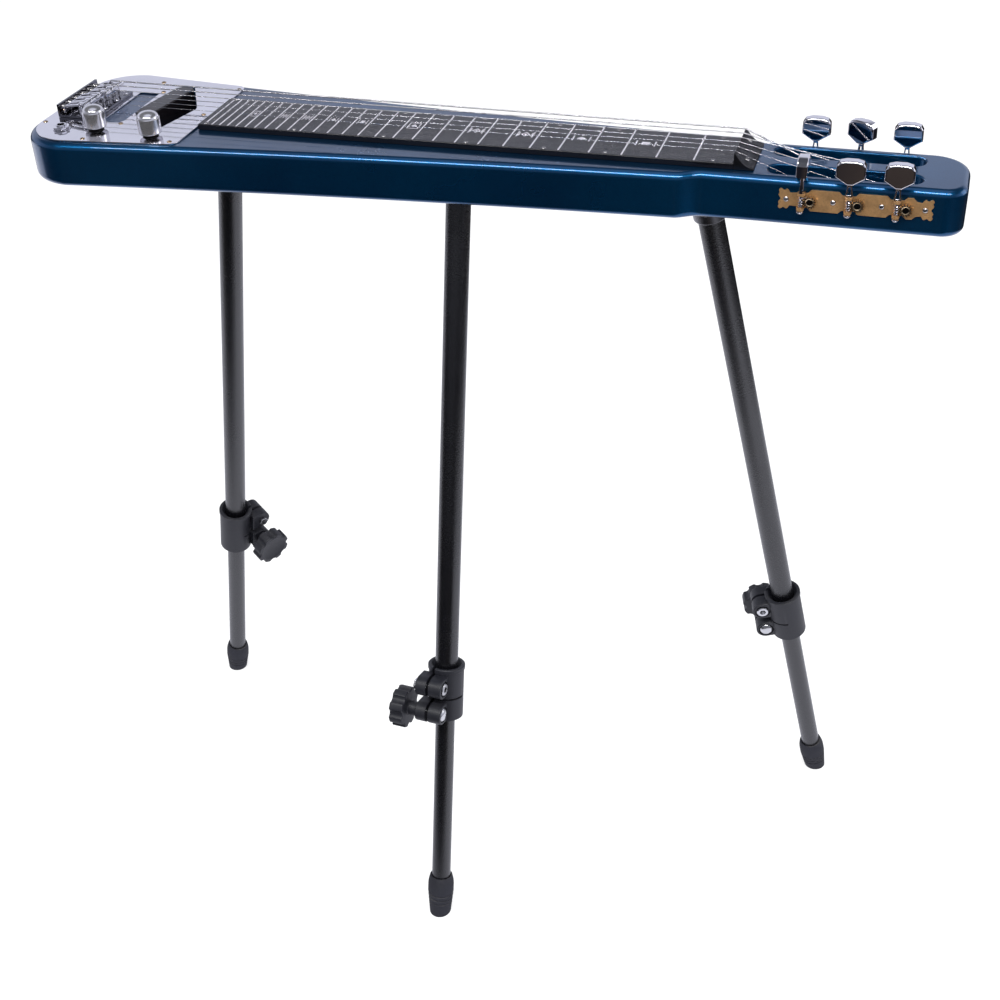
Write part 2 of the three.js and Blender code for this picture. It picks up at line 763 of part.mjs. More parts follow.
// The worm's thread. Its rows run along the helix, four to a turn for the root, the two edges of
// the crest and the root again, so each facet follows the thread.
function wormThread() {
  const halfGroove = lead / 4 + wormBacklash / 2;
  const rootShare = (halfGroove - wormRoot * flankSlope) / lead;
  const tipShare = (halfGroove + wormTip * flankSlope) / lead;
  const phases = [rootShare, tipShare, 1 - tipShare, 1 - rootShare];
  const turns = Math.ceil(wormReach / lead) + 1;
  const rows = [];
  for (let turn = -turns - 1; turn <= turns; turn += 1) {
    rows.push(...phases.map((phase, k) => [turn + phase, k === 1 || k === 2 ? 1 : 0]));
  }
  const [root, depth] = [wormRadius - wormRoot, wormRoot + wormTip];
  const corners = [];
  rows.forEach(([phase, crest]) => {
    for (let c = 0; c <= wormSides; c += 1) {
      const share = c / wormSides;
      const height = lead * (phase + share);
      const z = Math.max(-wormReach, Math.min(wormReach, height));
      const fade = Math.min(1, (wormReach - Math.abs(z)) / (lead / 4));
      const radius = root + depth * crest * fade;
      const angle = 2 * Math.PI * (share % 1);
      corners.push(radius * Math.cos(angle), radius * Math.sin(angle), z);
    }
  });
  const across = wormSides + 1;
  const index = [];
  for (let r = 0; r + 1 < rows.length; r += 1) {
    for (let c = 0; c < wormSides; c += 1) {
      const a = r * across + c;
      index.push(a, a + 1, a + across + 1, a, a + across + 1, a + across);
    }
  }
  const top = (rows.length - 1) * across;
  for (let c = 1; c + 1 < wormSides; c += 1) {
    index.push(0, c + 1, c, top, top + c, top + c + 1);
  }
  const geometry = new THREE.BufferGeometry();
  geometry.setAttribute("position", new THREE.Float32BufferAttribute(corners, 3));
  geometry.setIndex(index);
  return geometry;
}

// A button shaft, drawn round its own axis with the post's height at zero.
function makeTunerShaft() {
  const lugFar = lugNear + lugThickness + seat;
  const journal = (from, to) => rod(journalRadius, from, to, 8);
  const foot = -lugFar - finialHeight;
  const finial = revolved([
    [0, foot], [finialRadius - journalRadius / 2, foot],
    [finialRadius, foot + finialHeight / 3], [finialRadius, foot + finialHeight * 2 / 3],
    [journalRadius, -lugFar], [0, -lugFar],
  ], 8);
  const neck = lugFar + stemHeight;
  const stem = shapeOf([
    [-stemFootHalf, lugFar], [stemFootHalf, lugFar],
    [stemTopHalf, neck - stemTopHalf], [stemFootHalf, neck + buttonBevel],
    [-stemFootHalf, neck + buttonBevel], [-stemTopHalf, neck - stemTopHalf],
  ]);
  stem.holes.push(new THREE.Path([
    [-stemWindow, lugFar + stemWindow], [stemWindow, lugFar + stemWindow],
    [stemWindow / 2, neck - stemTopHalf], [-stemWindow / 2, neck - stemTopHalf],
  ].map(([x, y]) => new THREE.Vector2(x, y))));
  const button = shapeOf(buttonShares.map(([x, z]) =>
    [x * buttonWidth / 2, neck + z * buttonHeight]));
  const slab = pillowed(
    button, -buttonThickness / 2, buttonThickness / 2, buttonBevel, 1, 4,
  ).rotateX(Math.PI / 2);
  const reach = wormReach - wormBacklash;
  return joined(
    wormThread(), journal(reach, lugFar + stemWindow / 2), journal(-lugFar - seat, -reach),
    finial, carried(stem, -stemThickness / 2, stemThickness / 2), slab,
  );
}

// The gear's outline in X and Z, with a tooth pointing to the worm at -X.
function gearOutline() {
  const toothHalf = lead / 4 - gearBacklash / 2;
  const [tip, root] = [gearRadius + gearTip, gearRadius - gearRoot];
  const tipAngle = (toothHalf - gearTip * flankSlope) / gearRadius;
  const rootAngle = (toothHalf + gearRoot * flankSlope) / gearRadius;
  const corners = [[root, -rootAngle], [tip, -tipAngle], [tip, tipAngle], [root, rootAngle]];
  return shapeOf(Array.from({ length: gearTeeth }, (_, i) => Math.PI + 2 * Math.PI * i / gearTeeth)
    .flatMap((middle) => corners.map(([radius, angle]) =>
      [radius * Math.cos(middle + angle), radius * Math.sin(middle + angle)])));
}

// A string post with its gear. The teeth are skewed to the worm's lead, and Y is zero at the
// middle of the guitar.
function makeStringPost(side) {
  const gear = carried(gearOutline(), -gearWidth / 2, gearWidth / 2);
  const at = gear.attributes.position;
  const slope = lead / (2 * Math.PI * wormRadius);
  for (let i = 0; i < at.count; i += 1) {
    const turn = slope * at.getY(i) / gearRadius;
    const [x, z] = [at.getX(i), at.getZ(i)];
    at.setX(i, x * Math.cos(turn) + z * Math.sin(turn));
    at.setZ(i, z * Math.cos(turn) - x * Math.sin(turn));
  }
  const face = gearMiddle + gearWidth / 2;
  const post = rodAcross(postRadius, postTip, gearMiddle, 10);
  const hollow = rodAcross(gearRecess, face - gearRecessDepth, face + overrun, 10);
  return solid(gear).translate([0, side * gearMiddle, 0])
    .add(onSide(solid(post), side)).subtract(onSide(solid(hollow), side));
}

// Legs, drawn along their own axis: Z runs down the leg from the underside of the body
function legRotation(i) {
  return new THREE.Euler(0, Math.PI - legSplay, legBearings[i], "ZYX");
}

function legPlace(i) {
  return new THREE.Vector3(-legTops[i], legsAcross[i], bodyBottom);
}

function alongLeg(geometry, i) {
  const turn = new THREE.Quaternion().setFromEuler(legRotation(i));
  return geometry.applyMatrix4(
    new THREE.Matrix4().compose(legPlace(i), turn, new THREE.Vector3(1, 1, 1)));
}

// A screw-on flange with a tilted collar that takes the end of the leg.
function makeLegSocket(i) {
  const top = bodyBottom - seat;
  const flange = rod(flangeRadius, top - flangeThickness, top, 18)
    .translate(-legTops[i], legsAcross[i], 0);
  const spare = 2 * flangeRadius;
  const above = block(-spare, spare, -spare, spare, top, top + spare);
  return cut(
    joined(flange, alongLeg(rod(bossRadius, 0, bossLength, 16), i)),
    above.translate(-legTops[i], legsAcross[i], 0),
    alongLeg(rod(upperTubeRadius + seat, socketFloor, bossLength + overrun, 16), i),
  );
}

function pipe(outer, inner, from, to, segments) {
  return revolved([[inner, from], [outer, from], [outer, to], [inner, to], [inner, from]], segments);
}

function makeUpperTube() {
  const inner = upperTubeRadius - tubeWall;
  return solid(pipe(upperTubeRadius, inner, socketFloor + seat, upperTubeEnd, 16));
}

function makeLowerTube() {
  const inner = lowerTubeRadius - tubeWall;
  return solid(pipe(lowerTubeRadius, inner, lowerTubeEnd - lowerTubeLength, lowerTubeEnd, 16));
}

// The clamp collar: two split rings on one back, each with a barrel of two ears for its bolt.
// X points out to the ears and Y to the side of the knob.
function makeClampCollar() {
  const [wide, narrow] = [upperTubeRadius + seat, lowerTubeRadius + seat];
  const shoulder = clampTop + clampUpper;
  const lip = clampRadius + clampLip;
  const ring = revolved([
    [wide, clampTop + mouthDepth], [mouthRadius, clampTop], [lip, clampTop],
    [lip, clampTop + clampLipHeight - clampLip], [clampRadius, clampTop + clampLipHeight],
    [clampRadius, clampBottom], [narrow, clampBottom], [narrow, shoulder], [wide, shoulder],
    [wide, clampTop + mouthDepth],
  ], 18);
  const barrel = (bolt) => carried(shapeOf([
    [wide, bolt - earHalf], ...arcPoints(earReach, bolt, earHalf, -Math.PI / 2, Math.PI / 2, 5),
    [wide, bolt + earHalf],
  ]), -earPlain, earKnob);
  const bore = (radius, from, to) => rod(radius, from, to, 18);
  const bolts = [upperBolt, lowerBolt];
  const outside = earReach + earHalf + overrun;
  return cut(
    joined(ring, ...bolts.map(barrel)),
    bore(wide, clampTop - overrun, shoulder), bore(narrow, clampTop, clampBottom + overrun),
    block(0, outside, earGapCentre - earGap / 2, earGapCentre + earGap / 2,
      clampTop - overrun, clampBottom + overrun),
    block(0, outside, -clampRadius - overrun, earKnob + overrun, shoulder, shoulder + clampSlit),
    ...bolts.map((bolt) => rodAcross(
      boltRadius + seat, -earPlain - overrun, earKnob + overrun, 8).translate(earReach, 0, bolt)),
  );
}

const knobFace = earKnob + seat;
const boltEnd = knobFace + starHubLength + starThickness / 2;

// The lower clamp bolt: a domed head, then the shank that the star knob threads on.
function makeClampBolt() {
  const head = -earPlain - seat;
  return solid(revolved([
    [0, head - boltHeadHeight], [boltHead / 2, head - boltHeadHeight * 0.8],
    [boltHead, head - boltHeadHeight / 3], [boltHead, head], [boltRadius, head],
    [boltRadius, boltEnd], [0, boltEnd],
  ], 12).rotateX(-Math.PI / 2).translate(earReach, 0, lowerBolt));
}

function makeStarKnob() {
  const steps = starLobes * 4;
  const star = shapeOf(Array.from({ length: steps }, (_, i) => {
    const angle = 2 * Math.PI * i / steps;
    const radius = starRadius - starWave * (1 + Math.cos(starLobes * angle)) / 2;
    return [radius * Math.cos(angle), radius * Math.sin(angle)];
  }));
  const body = pillowed(star, starHubLength, starHubLength + starThickness, starEdge, 1, 4);
  const whole = cut(
    joined(body, rod(starHub, 0, starHubLength + starEdge, 14)),
    rod(boltRadius + seat, -overrun, boltEnd - knobFace + seat, 10),
  );
  return whole.rotate([-90, 0, 0]).translate([earReach, knobFace, lowerBolt]);
}

// The rubber foot: a sleeve that bulges, then tapers over its ribs to a sole cut flat on the floor.
function makeFoot(i) {
  const bulge = footTop + (legLength - footTop) / 4;
  const ribsStart = legLength - footFloor - footRibs * footRibPitch;
  const end = legLength + overrun;
  const taper = (z) => footRadius - (footRadius - footSole) * (z - ribsStart) / (end - ribsStart);
  const ribs = Array.from({ length: footRibs }, (_, k) => ribsStart + k * footRibPitch)
    .flatMap((z) => [0, 1, 1, 0].map((deep, step) => {
      const height = z + step * footRibPitch / 5;
      return [taper(height) - deep * footRibDepth, height];
    }));
  const floor = legLength - footFloor;
  const bore = lowerTubeRadius + seat;
  const rubber = alongLeg(revolved([
    [bore, footTop], [footMouth, footTop], [footRadius, bulge], ...ribs,
    [footSole, end], [0, end], [0, floor], [bore, floor], [bore, footTop],
  ], 14), i);
  const run = legLength * Math.sin(legSplay);
  const spare = 2 * footRadius;
  const below = block(-spare, spare, -spare, spare, -spare, 0).translate(
    run * Math.cos(legBearings[i]) - legTops[i],
    run * Math.sin(legBearings[i]) + legsAcross[i], 0);
  return cut(solid(rubber), below);
}

// Assembly
const guitar = new THREE.Group();
addMesh(guitar, "body", makeBody(), blueGloss);
addMesh(guitar, "control_plate", makePlate(), chrome);
addMesh(guitar, "pickup", makePickup(), blackGloss);
addMesh(guitar, "fretboard", makeFretboard(), blackGloss);
addMesh(guitar, "nut", makeNut(), gunmetal);
addMesh(guitar, "bridge_base", makeBridgeBase(), chrome);
stringAcross.forEach((_, i) => addMesh(guitar, `saddle_${i + 1}`, makeSaddle(i), steel));

const gaps = stringAcross.map((_, i) => {
  const route = stringRoute(i);
  addMesh(guitar, `string_${i + 1}`, solid(tube(route)), steel);
  return leastGap(route);
});
console.log(`least gap between turns of a string: ${Math.min(...gaps).toFixed(2)} mm`);

knobPlaces.forEach(([x, y], i) => {
  const place = new THREE.Group();
  place.position.set(-x, -y, plateTop);
  addMesh(place, `potentiometer_${i + 1}`, makePot(), steel);
  addMesh(place, `control_knob_${i + 1}`, makeKnob(), chrome);
  guitar.add(place);
});
const socketPlace = new THREE.Group();
socketPlace.position.set(-jackX, -jackAcross, plateTop);
addMesh(socketPlace, "output_socket", makeOutputSocket(), chrome);
guitar.add(socketPlace);

const sides = [["near", -1], ["far", 1]];
sides.forEach(([label, side]) => {
  const rail = new THREE.Group();
  rail.position.z = postHeight;
  addMesh(rail, `tuner_plate_${label}`, makeTunerPlate(side), antiqueBrass);
  postPlaces.forEach((place, i) => {
    const turn = THREE.MathUtils.degToRad(buttonTurns[label][i]);
    const shaft = addMesh(rail, `tuner_shaft_${label}_${i + 1}`, makeTunerShaft(), chrome);
    shaft.position.set(place - wormOffset, side * gearMiddle, 0);
    shaft.rotation.z = turn;
    const post = addMesh(rail, `string_post_${label}_${i + 1}`, makeStringPost(side), steel);
    post.position.x = place;
    post.rotation.y = -turn / gearTeeth;
  });
  guitar.add(rail);
});

legNames.forEach((label, i) => {
  addMesh(guitar, `leg_socket_${label}`, makeLegSocket(i), zinc);
  const leg = new THREE.Group();
  leg.position.copy(legPlace(i));
  leg.rotation.copy(legRotation(i));
  addMesh(leg, `upper_tube_${label}`, makeUpperTube(), blackTube);
  addMesh(leg, `lower_tube_${label}`, makeLowerTube(), blackTube);
  const clamp = new THREE.Group();
  clamp.rotation.z = legBearings[i] + Math.PI - clampBearings[i];
  addMesh(clamp, `clamp_collar_${label}`, makeClampCollar(), blackPlastic);
  addMesh(clamp, `clamp_bolt_${label}`, makeClampBolt(), zinc);
  addMesh(clamp, `clamp_knob_${label}`, makeStarKnob(), blackPlastic);
  leg.add(clamp);
  guitar.add(leg);
  addMesh(guitar, `foot_${label}`, makeFoot(i), blackRubber);
});

// The origin lies on the floor under the middle of the whole guitar.
const bounds = new THREE.Box3().setFromObject(guitar, true);
const middle = bounds.getCenter(new THREE.Vector3());
guitar.position.set(-middle.x, -middle.y, -bounds.min.z);

export default guitar;
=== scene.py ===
"""Lap steel guitar on three telescopic legs, dressed for rendering.

Lengths in the code are millimetres in the guitar's own frame: X runs along the strings with the
nut at zero and the head at +X, Y runs across, Z is the height above the floor. A finished piece
is scaled to metres and moved to the frame's origin.
"""

import math

import bmesh
import bpy
from bpy.props import FloatProperty, FloatVectorProperty, IntProperty, PointerProperty
from mathutils import Matrix, Vector


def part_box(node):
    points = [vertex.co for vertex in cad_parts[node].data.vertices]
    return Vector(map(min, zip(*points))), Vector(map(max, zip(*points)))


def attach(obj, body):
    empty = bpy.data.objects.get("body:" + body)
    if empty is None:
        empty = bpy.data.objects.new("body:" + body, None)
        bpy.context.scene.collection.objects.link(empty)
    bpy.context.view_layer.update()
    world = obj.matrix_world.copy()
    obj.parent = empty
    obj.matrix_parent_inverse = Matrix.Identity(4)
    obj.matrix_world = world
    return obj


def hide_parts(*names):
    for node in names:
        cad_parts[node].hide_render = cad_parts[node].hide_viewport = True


bl_info = {
    "name": "Lap Steel Guitar",
    "version": (1, 0, 0),
    "blender": (4, 5, 0),
    "location": "View3D > Sidebar > Lap Steel",
    "description": "Builds a lap steel guitar on telescopic legs round a packed CAD frame",
    "category": "Object",
}

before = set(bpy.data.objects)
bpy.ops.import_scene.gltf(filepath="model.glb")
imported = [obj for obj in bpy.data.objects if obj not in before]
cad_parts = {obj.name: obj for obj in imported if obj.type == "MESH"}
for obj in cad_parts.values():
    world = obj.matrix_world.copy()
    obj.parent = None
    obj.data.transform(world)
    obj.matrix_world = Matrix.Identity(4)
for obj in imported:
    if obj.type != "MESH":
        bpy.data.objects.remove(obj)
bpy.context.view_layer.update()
MM = 0.001
NUT_LOW, NUT_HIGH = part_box("nut")
ORIGIN = Vector((NUT_LOW.x, (NUT_LOW.y + NUT_HIGH.y) / 2, 0)) / MM

# Sizes shared with the solids, in millimetres
SEAT = 0.3
OVERRUN = 5
SCALE_LENGTH = 571.5
PLAY_HEIGHT = 771
BODY_TOP = PLAY_HEIGHT - 5
BODY_BOTTOM = BODY_TOP - 39
BODY_TAIL = 616
BODY_HEAD = 180.5
WAIST_HALF = 47
TAIL_HALF = 95.5
FLARE_BOW = 5.3
HEAD_HALF = 38.5
STEP_START = 45
STEP_END = 22
TAIL_CORNER = 45
HEAD_CORNERS = {-1: 18, 1: 30}
FLARE_POINTS, STEP_POINTS = 40, 20
SLOT_LENGTH = 120.5
SLOT_WIDTH = 20
SLOT_FROM_NUT = 25.5
SLOT_ACROSS = 18.5
SLOT_ROUND = 1.5
PLATE_INSET = 6
PLATE_END = 466.5
PLATE_TOP = BODY_TOP + 1.5
POCKET_DEPTH = 18
BASE_TOP = PLATE_TOP + 2.3
SADDLE_HEIGHT = PLAY_HEIGHT + 9.2
POST_HEIGHT = BODY_TOP - 15.6
STRING_GAUGES = (0.38, 0.46, 0.61, 0.81, 1.07, 1.37)
BRIDGE_ACROSS = tuple((i - 2.5) * 10.8 for i in range(6))
NUT_ACROSS = tuple((i - 2.5) * 9.6 for i in range(6))
NUT_RIDGE_HEIGHT = PLAY_HEIGHT + 8.5
POST_PITCH = 36.5
POST_PLACES = tuple(63 + POST_PITCH * i for i in range(3))
POST_RADIUS = 3
TUNER_FACE = 40.0
GEAR_MIDDLE = 42.9
GEAR_TEETH = 14
GEAR_RADIUS = 4.9
WORM_RADIUS = 2.1
LEAD = 2 * math.pi * GEAR_RADIUS / GEAR_TEETH
WORM_OFFSET = GEAR_RADIUS + WORM_RADIUS
BUTTON_TURNS = {"near": (90, 0, 0), "far": (0, -25, 0)}
SIDES = (("near", -1), ("far", 1))
KNOB_PLACES = ((-551.5, -54), (-496.4, -58.5))
JACK_PLACE = (-582.4, -59.4)
SPLAY = math.radians(14.3)
LEG_TOPS = {"tail": (-460.8, 10), "middle": (-239.5, 0), "head": (-22, -8)}
LEG_BEARINGS = {"tail": 144, "middle": -90, "head": 46}
CLAMP_BEARINGS = {"tail": 58, "middle": -95, "head": 195}
LEG_LENGTH = BODY_BOTTOM / math.cos(SPLAY)
CLAMP_TOP = LEG_LENGTH - 285
CLAMP_SHOULDER = CLAMP_TOP + 31
CLAMP_BOTTOM = CLAMP_TOP + 55
UPPER_BOLT = CLAMP_TOP + 16.5
LOWER_BOLT = CLAMP_BOTTOM - 11
EAR_REACH = 23
KNOB_FACE = 19.3
UPPER_TUBE_RADIUS = 11
LOWER_TUBE_RADIUS = 9.5
LOWER_TUBE_LENGTH = 412.5
TUBE_WALL = 1.2
TUBE_END = LEG_LENGTH - 9.3
FOOT_FLOOR = LEG_LENGTH - 9
GOLDEN_TURN = 2.39996
TO_FRAME = Matrix.Scale(MM, 4) @ Matrix.Translation(ORIGIN)


# Settings that a user can change
def colour_setting(name, description, default):
    return FloatVectorProperty(
        name=name, description=description, subtype="COLOR", size=3, min=0, max=1, default=default)


def length_setting(name, description, millimetres):
    return FloatProperty(
        name=name, description=description, unit="LENGTH", subtype="DISTANCE", min=0,
        default=millimetres * MM, precision=4)


class LapSteelBodySettings(bpy.types.PropertyGroup):
    """Body, fretboard and pickup."""
    edge_round: length_setting("Edge round", "Rounding of the rims of the body", 6)
    lacquer: colour_setting("Lacquer", "Metallic blue under the clear coat", (0.001, 0.095, 0.24))
    lacquer_deep: colour_setting("Deep lacquer", "Darker parts of the flake", (0.001, 0.03, 0.1))
    fretboard: colour_setting("Fretboard", "Black sheet of the fretboard", (0.004, 0.004, 0.006))
    line_colour: colour_setting("Fret lines", "Printed lines and markers", (0.62, 0.6, 0.66))
    line_width: length_setting("Line width", "Width of a fret line", 1.3)
    line_count: IntProperty(
        name="Fret lines", description="How many fret lines are drawn", min=1, max=36, default=28)


class LapSteelMetalSettings(bpy.types.PropertyGroup):
    """Chrome, brass, steel and gunmetal."""
    chrome: colour_setting("Chrome", "Plate, knobs and buttons", (0.93, 0.92, 0.96))
    brass: colour_setting("Aged brass", "Tuner plates", (0.66, 0.38, 0.17))
    steel: colour_setting("Steel", "Strings, saddles and gears", (0.66, 0.64, 0.63))
    gunmetal: colour_setting("Gunmetal", "Cast nut", (0.055, 0.055, 0.06))
    wire: colour_setting("String wire", "Strings", (0.8, 0.79, 0.82))
    screw_size: length_setting("Screw head", "Diameter of the plate's screw heads", 4.4)


class LapSteelLegSettings(bpy.types.PropertyGroup):
    """Tubes, clamps and feet."""
    paint: colour_setting("Crackle paint", "Paint of the tubes", (0.002, 0.002, 0.003))
    plastic: colour_setting("Clamp plastic", "Collars and star knobs", (0.009, 0.0095, 0.014))
    rubber: colour_setting("Rubber", "Feet", (0.013, 0.0135, 0.02))
    crackle: length_setting("Crackle size", "Size of a grain in the paint", 1.1)


class LapSteelStageSettings(bpy.types.PropertyGroup):
    """Floor, light and camera."""
    floor: colour_setting("Floor", "Colour of the floor", (0.93, 0.93, 0.935))
    focal_length: FloatProperty(
        name="Focal length", description="Lens of the camera in millimetres", default=54.216, min=1)
    light: FloatProperty(
        name="Light", description="Level of the lamps and the sky", default=1.0, min=0, max=3)


SETTINGS = (
    ("lap_steel_body", LapSteelBodySettings), ("lap_steel_metal", LapSteelMetalSettings),
    ("lap_steel_legs", LapSteelLegSettings), ("lap_steel_stage", LapSteelStageSettings),
)


# Shapes in millimetres
def skin(rows, ring=False, caps=True):
    """Joins rows of points, each a closed loop of equal count, into one skin facing out."""
    shape = bmesh.new()
    loops = [[shape.verts.new(point) for point in row] for row in rows]
    pairs = list(zip(loops, loops[1:] + (loops[:1] if ring else [])))
    count = len(loops[0])
    for low, high in pairs:
        for k in range(count):
            j = (k + 1) % count
            shape.faces.new((low[k], low[j], high[j], high[k]))
    if caps and not ring:
        shape.faces.new(list(reversed(loops[0])))
        shape.faces.new(loops[-1])
    bmesh.ops.remove_doubles(shape, verts=shape.verts, dist=1e-5)
    bmesh.ops.dissolve_degenerate(shape, edges=shape.edges, dist=1e-6)
    bmesh.ops.recalc_face_normals(shape, faces=shape.faces)
    return shape


def polar(radius, angle):
    return radius * math.cos(angle), radius * math.sin(angle)


def turned(profile, steps=48):
    """A profile of (radius, height) points revolved about Z. A closed profile makes a ring."""
    ring = profile[0] == profile[-1]
    points = profile[:-1] if ring else profile
    angles = [2 * math.pi * k / steps for k in range(steps)]
    return skin([[(*polar(r, a), z) for a in angles] for r, z in points], ring=ring, caps=False)


def rod(radius, low, high, steps=32, edge=0.0):
    """A round bar along Z, with its rims eased by edge."""
    if edge:
        profile = ([(0, low), (radius - edge, low)]
                   + curve(radius - edge, low + edge, edge, -90, 0, 3)[1:]
                   + curve(radius - edge, high - edge, edge, 0, 90, 3) + [(0, high)])
    else:
        profile = [(0, low), (radius, low), (radius, high), (0, high)]
    return turned(profile, steps)


def prism(outline, low, high, along="Z"):
    """An outline carried from low to high along Z, or one drawn in X and Z carried along Y."""
    if along == "Z":
        rows = [[(x, y, at) for x, y in outline] for at in (low, high)]
    else:
        rows = [[(x, at, z) for x, z in outline] for at in (low, high)]
    return skin(rows)


def block(x0, x1, y0, y1, z0, z1):
    """A box between two values on each axis."""
    return prism([(x0, y0), (x1, y0), (x1, y1), (x0, y1)], z0, z1)


def curve(cx, cy, radius, start, end, steps):
    """Points on an arc, with its angles in degrees."""
    angles = [math.radians(start + (end - start) * k / steps) for k in range(steps + 1)]
    return [(cx + radius * math.cos(a), cy + radius * math.sin(a)) for a in angles]


def stadium(length, width, steps=10):
    """A strip with round ends, along X."""
    reach = (length - width) / 2
    return (curve(reach, 0, width / 2, -90, 90, steps)
            + curve(-reach, 0, width / 2, 90, 270, steps))


def about(axis, degrees):
    return Matrix.Rotation(math.radians(degrees), 4, axis)


def moved(shape, matrix):
    shape.transform(matrix)
    return shape


def placed(shape, x=0.0, y=0.0, z=0.0, turn=None):
    """Turns a shape about the origin, then moves it."""
    matrix = Matrix.Translation((x, y, z))
    return moved(shape, matrix if turn is None else matrix @ turn)


def as_mesh(shape, name="shape"):
    """The mesh of a shape, which is used up."""
    mesh = bpy.data.meshes.new(name)
    shape.to_mesh(mesh)
    shape.free()
    return mesh


def as_shape(mesh):
    """The shape of a mesh, which is used up."""
    shape = bmesh.new()
    shape.from_mesh(mesh)
    bpy.data.meshes.remove(mesh)
    return shape


def joined(*shapes):
    """Several shapes as one, without cutting them into each other."""
    whole = bmesh.new()
    for shape in shapes:
        mesh = as_mesh(shape)
        whole.from_mesh(mesh)
        bpy.data.meshes.remove(mesh)
    return whole


def linked(name, data):
    """An object in the scene that holds the data."""
    obj = bpy.data.objects.new(name, data)
    bpy.context.scene.collection.objects.link(obj)
    return obj


def stand_in(shape):
    """A working object that holds a shape while a modifier or a tree acts on it."""
    return linked("stand_in", as_mesh(shape))


def evaluated(obj):
    """The plain mesh that an object's modifiers make."""
    depsgraph = bpy.context.evaluated_depsgraph_get()
    return bpy.data.meshes.new_from_object(
        obj.evaluated_get(depsgraph), preserve_all_data_layers=True, depsgraph=depsgraph)


def dropped(obj):
    """Removes a working object and its data."""
    data = obj.data
    bpy.data.objects.remove(obj)
    if isinstance(data, bpy.types.Mesh):
        bpy.data.meshes.remove(data)
    else:
        bpy.data.curves.remove(data)


def carved(base, *cutters, operation="DIFFERENCE"):
    """Cuts closed shapes out of a closed shape, or joins them to it."""
    target = stand_in(base)
    tools = [stand_in(cutter) for cutter in cutters]
    for tool in tools:
        step = target.modifiers.new("cut", "BOOLEAN")
        step.operation = operation
        step.object = tool
        step.solver = "EXACT"
    result = as_shape(evaluated(target))
    for obj in (target, *tools):
        dropped(obj)
    bmesh.ops.remove_doubles(result, verts=result.verts, dist=1e-4)
    return result


def eased(shape, width, steps=2, least=50, above=None, clean=True):
    """Rounds the edges that turn by more than least degrees, all or those above a height."""
    if clean:
        bmesh.ops.dissolve_limit(
            shape, angle_limit=math.radians(0.5), verts=shape.verts, edges=shape.edges)
    limit = math.radians(least)
    edges = [
        e for e in shape.edges
        if len(e.link_faces) == 2 and e.calc_face_angle(0) > limit
        and (above is None or all(v.co.z > above for v in e.verts))
    ]
    bmesh.ops.bevel(
        shape, geom=edges, offset=width, offset_type="OFFSET", segments=steps, profile=0.5,
        affect="EDGES", clamp_overlap=True)
    return shape


def padded(outline, low, high, width, steps, along="Z", above=None):
    """A prism with its rims rounded over."""
    return eased(prism(outline, low, high, along), width, steps, 60, above, clean=False)


def make_piece(name, shape, finish, slot, replaces=(), **options):
    """Makes a dressed piece of a shape that is still in the guitar's own millimetres."""
    dress_mesh(name, as_mesh(moved(shape, TO_FRAME)), finish, slot, replaces, **options)


def dress_mesh(name, mesh, finish, slot, replaces=(), body="guitar", least=32, flats=True):
    """Shades a mesh that is already in place, gives it a finish and hangs it on a body."""
    mesh.materials.clear()
    mesh.materials.append(FINISHES[finish])
    mesh.polygons.foreach_set("use_smooth", [True] * len(mesh.polygons))
    mesh.set_sharp_from_angle(angle=math.radians(least))
    obj = linked(name, mesh)
    if flats:
        weighted = obj.modifiers.new("flats", "WEIGHTED_NORMAL")
        weighted.mode = "FACE_AREA"
        weighted.keep_sharp = True
        final = evaluated(obj)
        obj.modifiers.clear()
        obj.data = final
        bpy.data.meshes.remove(mesh)
    obj.data.name = name
    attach(obj, body)
    if replaces:
        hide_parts(*replaces)


# Geometry node trees
class Tree:
    """A node tree under construction: adds nodes and links them by socket."""

    def __init__(self, tree):
        self.tree = tree

    def socket(self, name, kind, default=None, output=False):
        item = self.tree.interface.new_socket(
            name, in_out="OUTPUT" if output else "INPUT", socket_type=kind)
        if default is not None:
            item.default_value = default

    def link(self, value, socket):
        self.tree.links.new(value, socket)

    def add(self, kind, inputs=None, **values):
        node = self.tree.nodes.new(kind)
        for key, value in values.items():
            setattr(node, key, value)
        for key, value in (inputs or {}).items():
            if isinstance(value, bpy.types.NodeSocket):
                self.link(value, node.inputs[key])
            else:
                node.inputs[key].default_value = value
        return node

    def math(self, operation, a, b=None, c=None):
        values = {k: v for k, v in enumerate((a, b, c)) if v is not None}
        return self.add("ShaderNodeMath", values, operation=operation).outputs[0]

    def vector(self, x, y, z):
        return self.add("ShaderNodeCombineXYZ", {"X": x, "Y": y, "Z": z}).outputs[0]

    def attribute(self, name, kind="FLOAT"):
        return self.add(
            "GeometryNodeInputNamedAttribute", {"Name": name}, data_type=kind).outputs[0]

    def place(self):
        """Where a point lies in its object's own coordinates."""
        return self.add("ShaderNodeTexCoord").outputs["Object"]


def new_geometry_tree(name, inputs):
    """A tree from geometry to geometry. An input is named with its default or its kind."""
    tree = bpy.data.node_groups.new(name, "GeometryNodeTree")
    build = Tree(tree)
    build.socket("Geometry", "NodeSocketGeometry")
    for label, value in {**inputs, "Finish": "NodeSocketMaterial"}.items():
        if isinstance(value, str):
            build.socket(label, value)
        else:
            kind = "NodeSocketInt" if isinstance(value, int) else "NodeSocketFloat"
            build.socket(label, kind, value)
    build.socket("Geometry", "NodeSocketGeometry", output=True)
    return build, build.add("NodeGroupInput").outputs


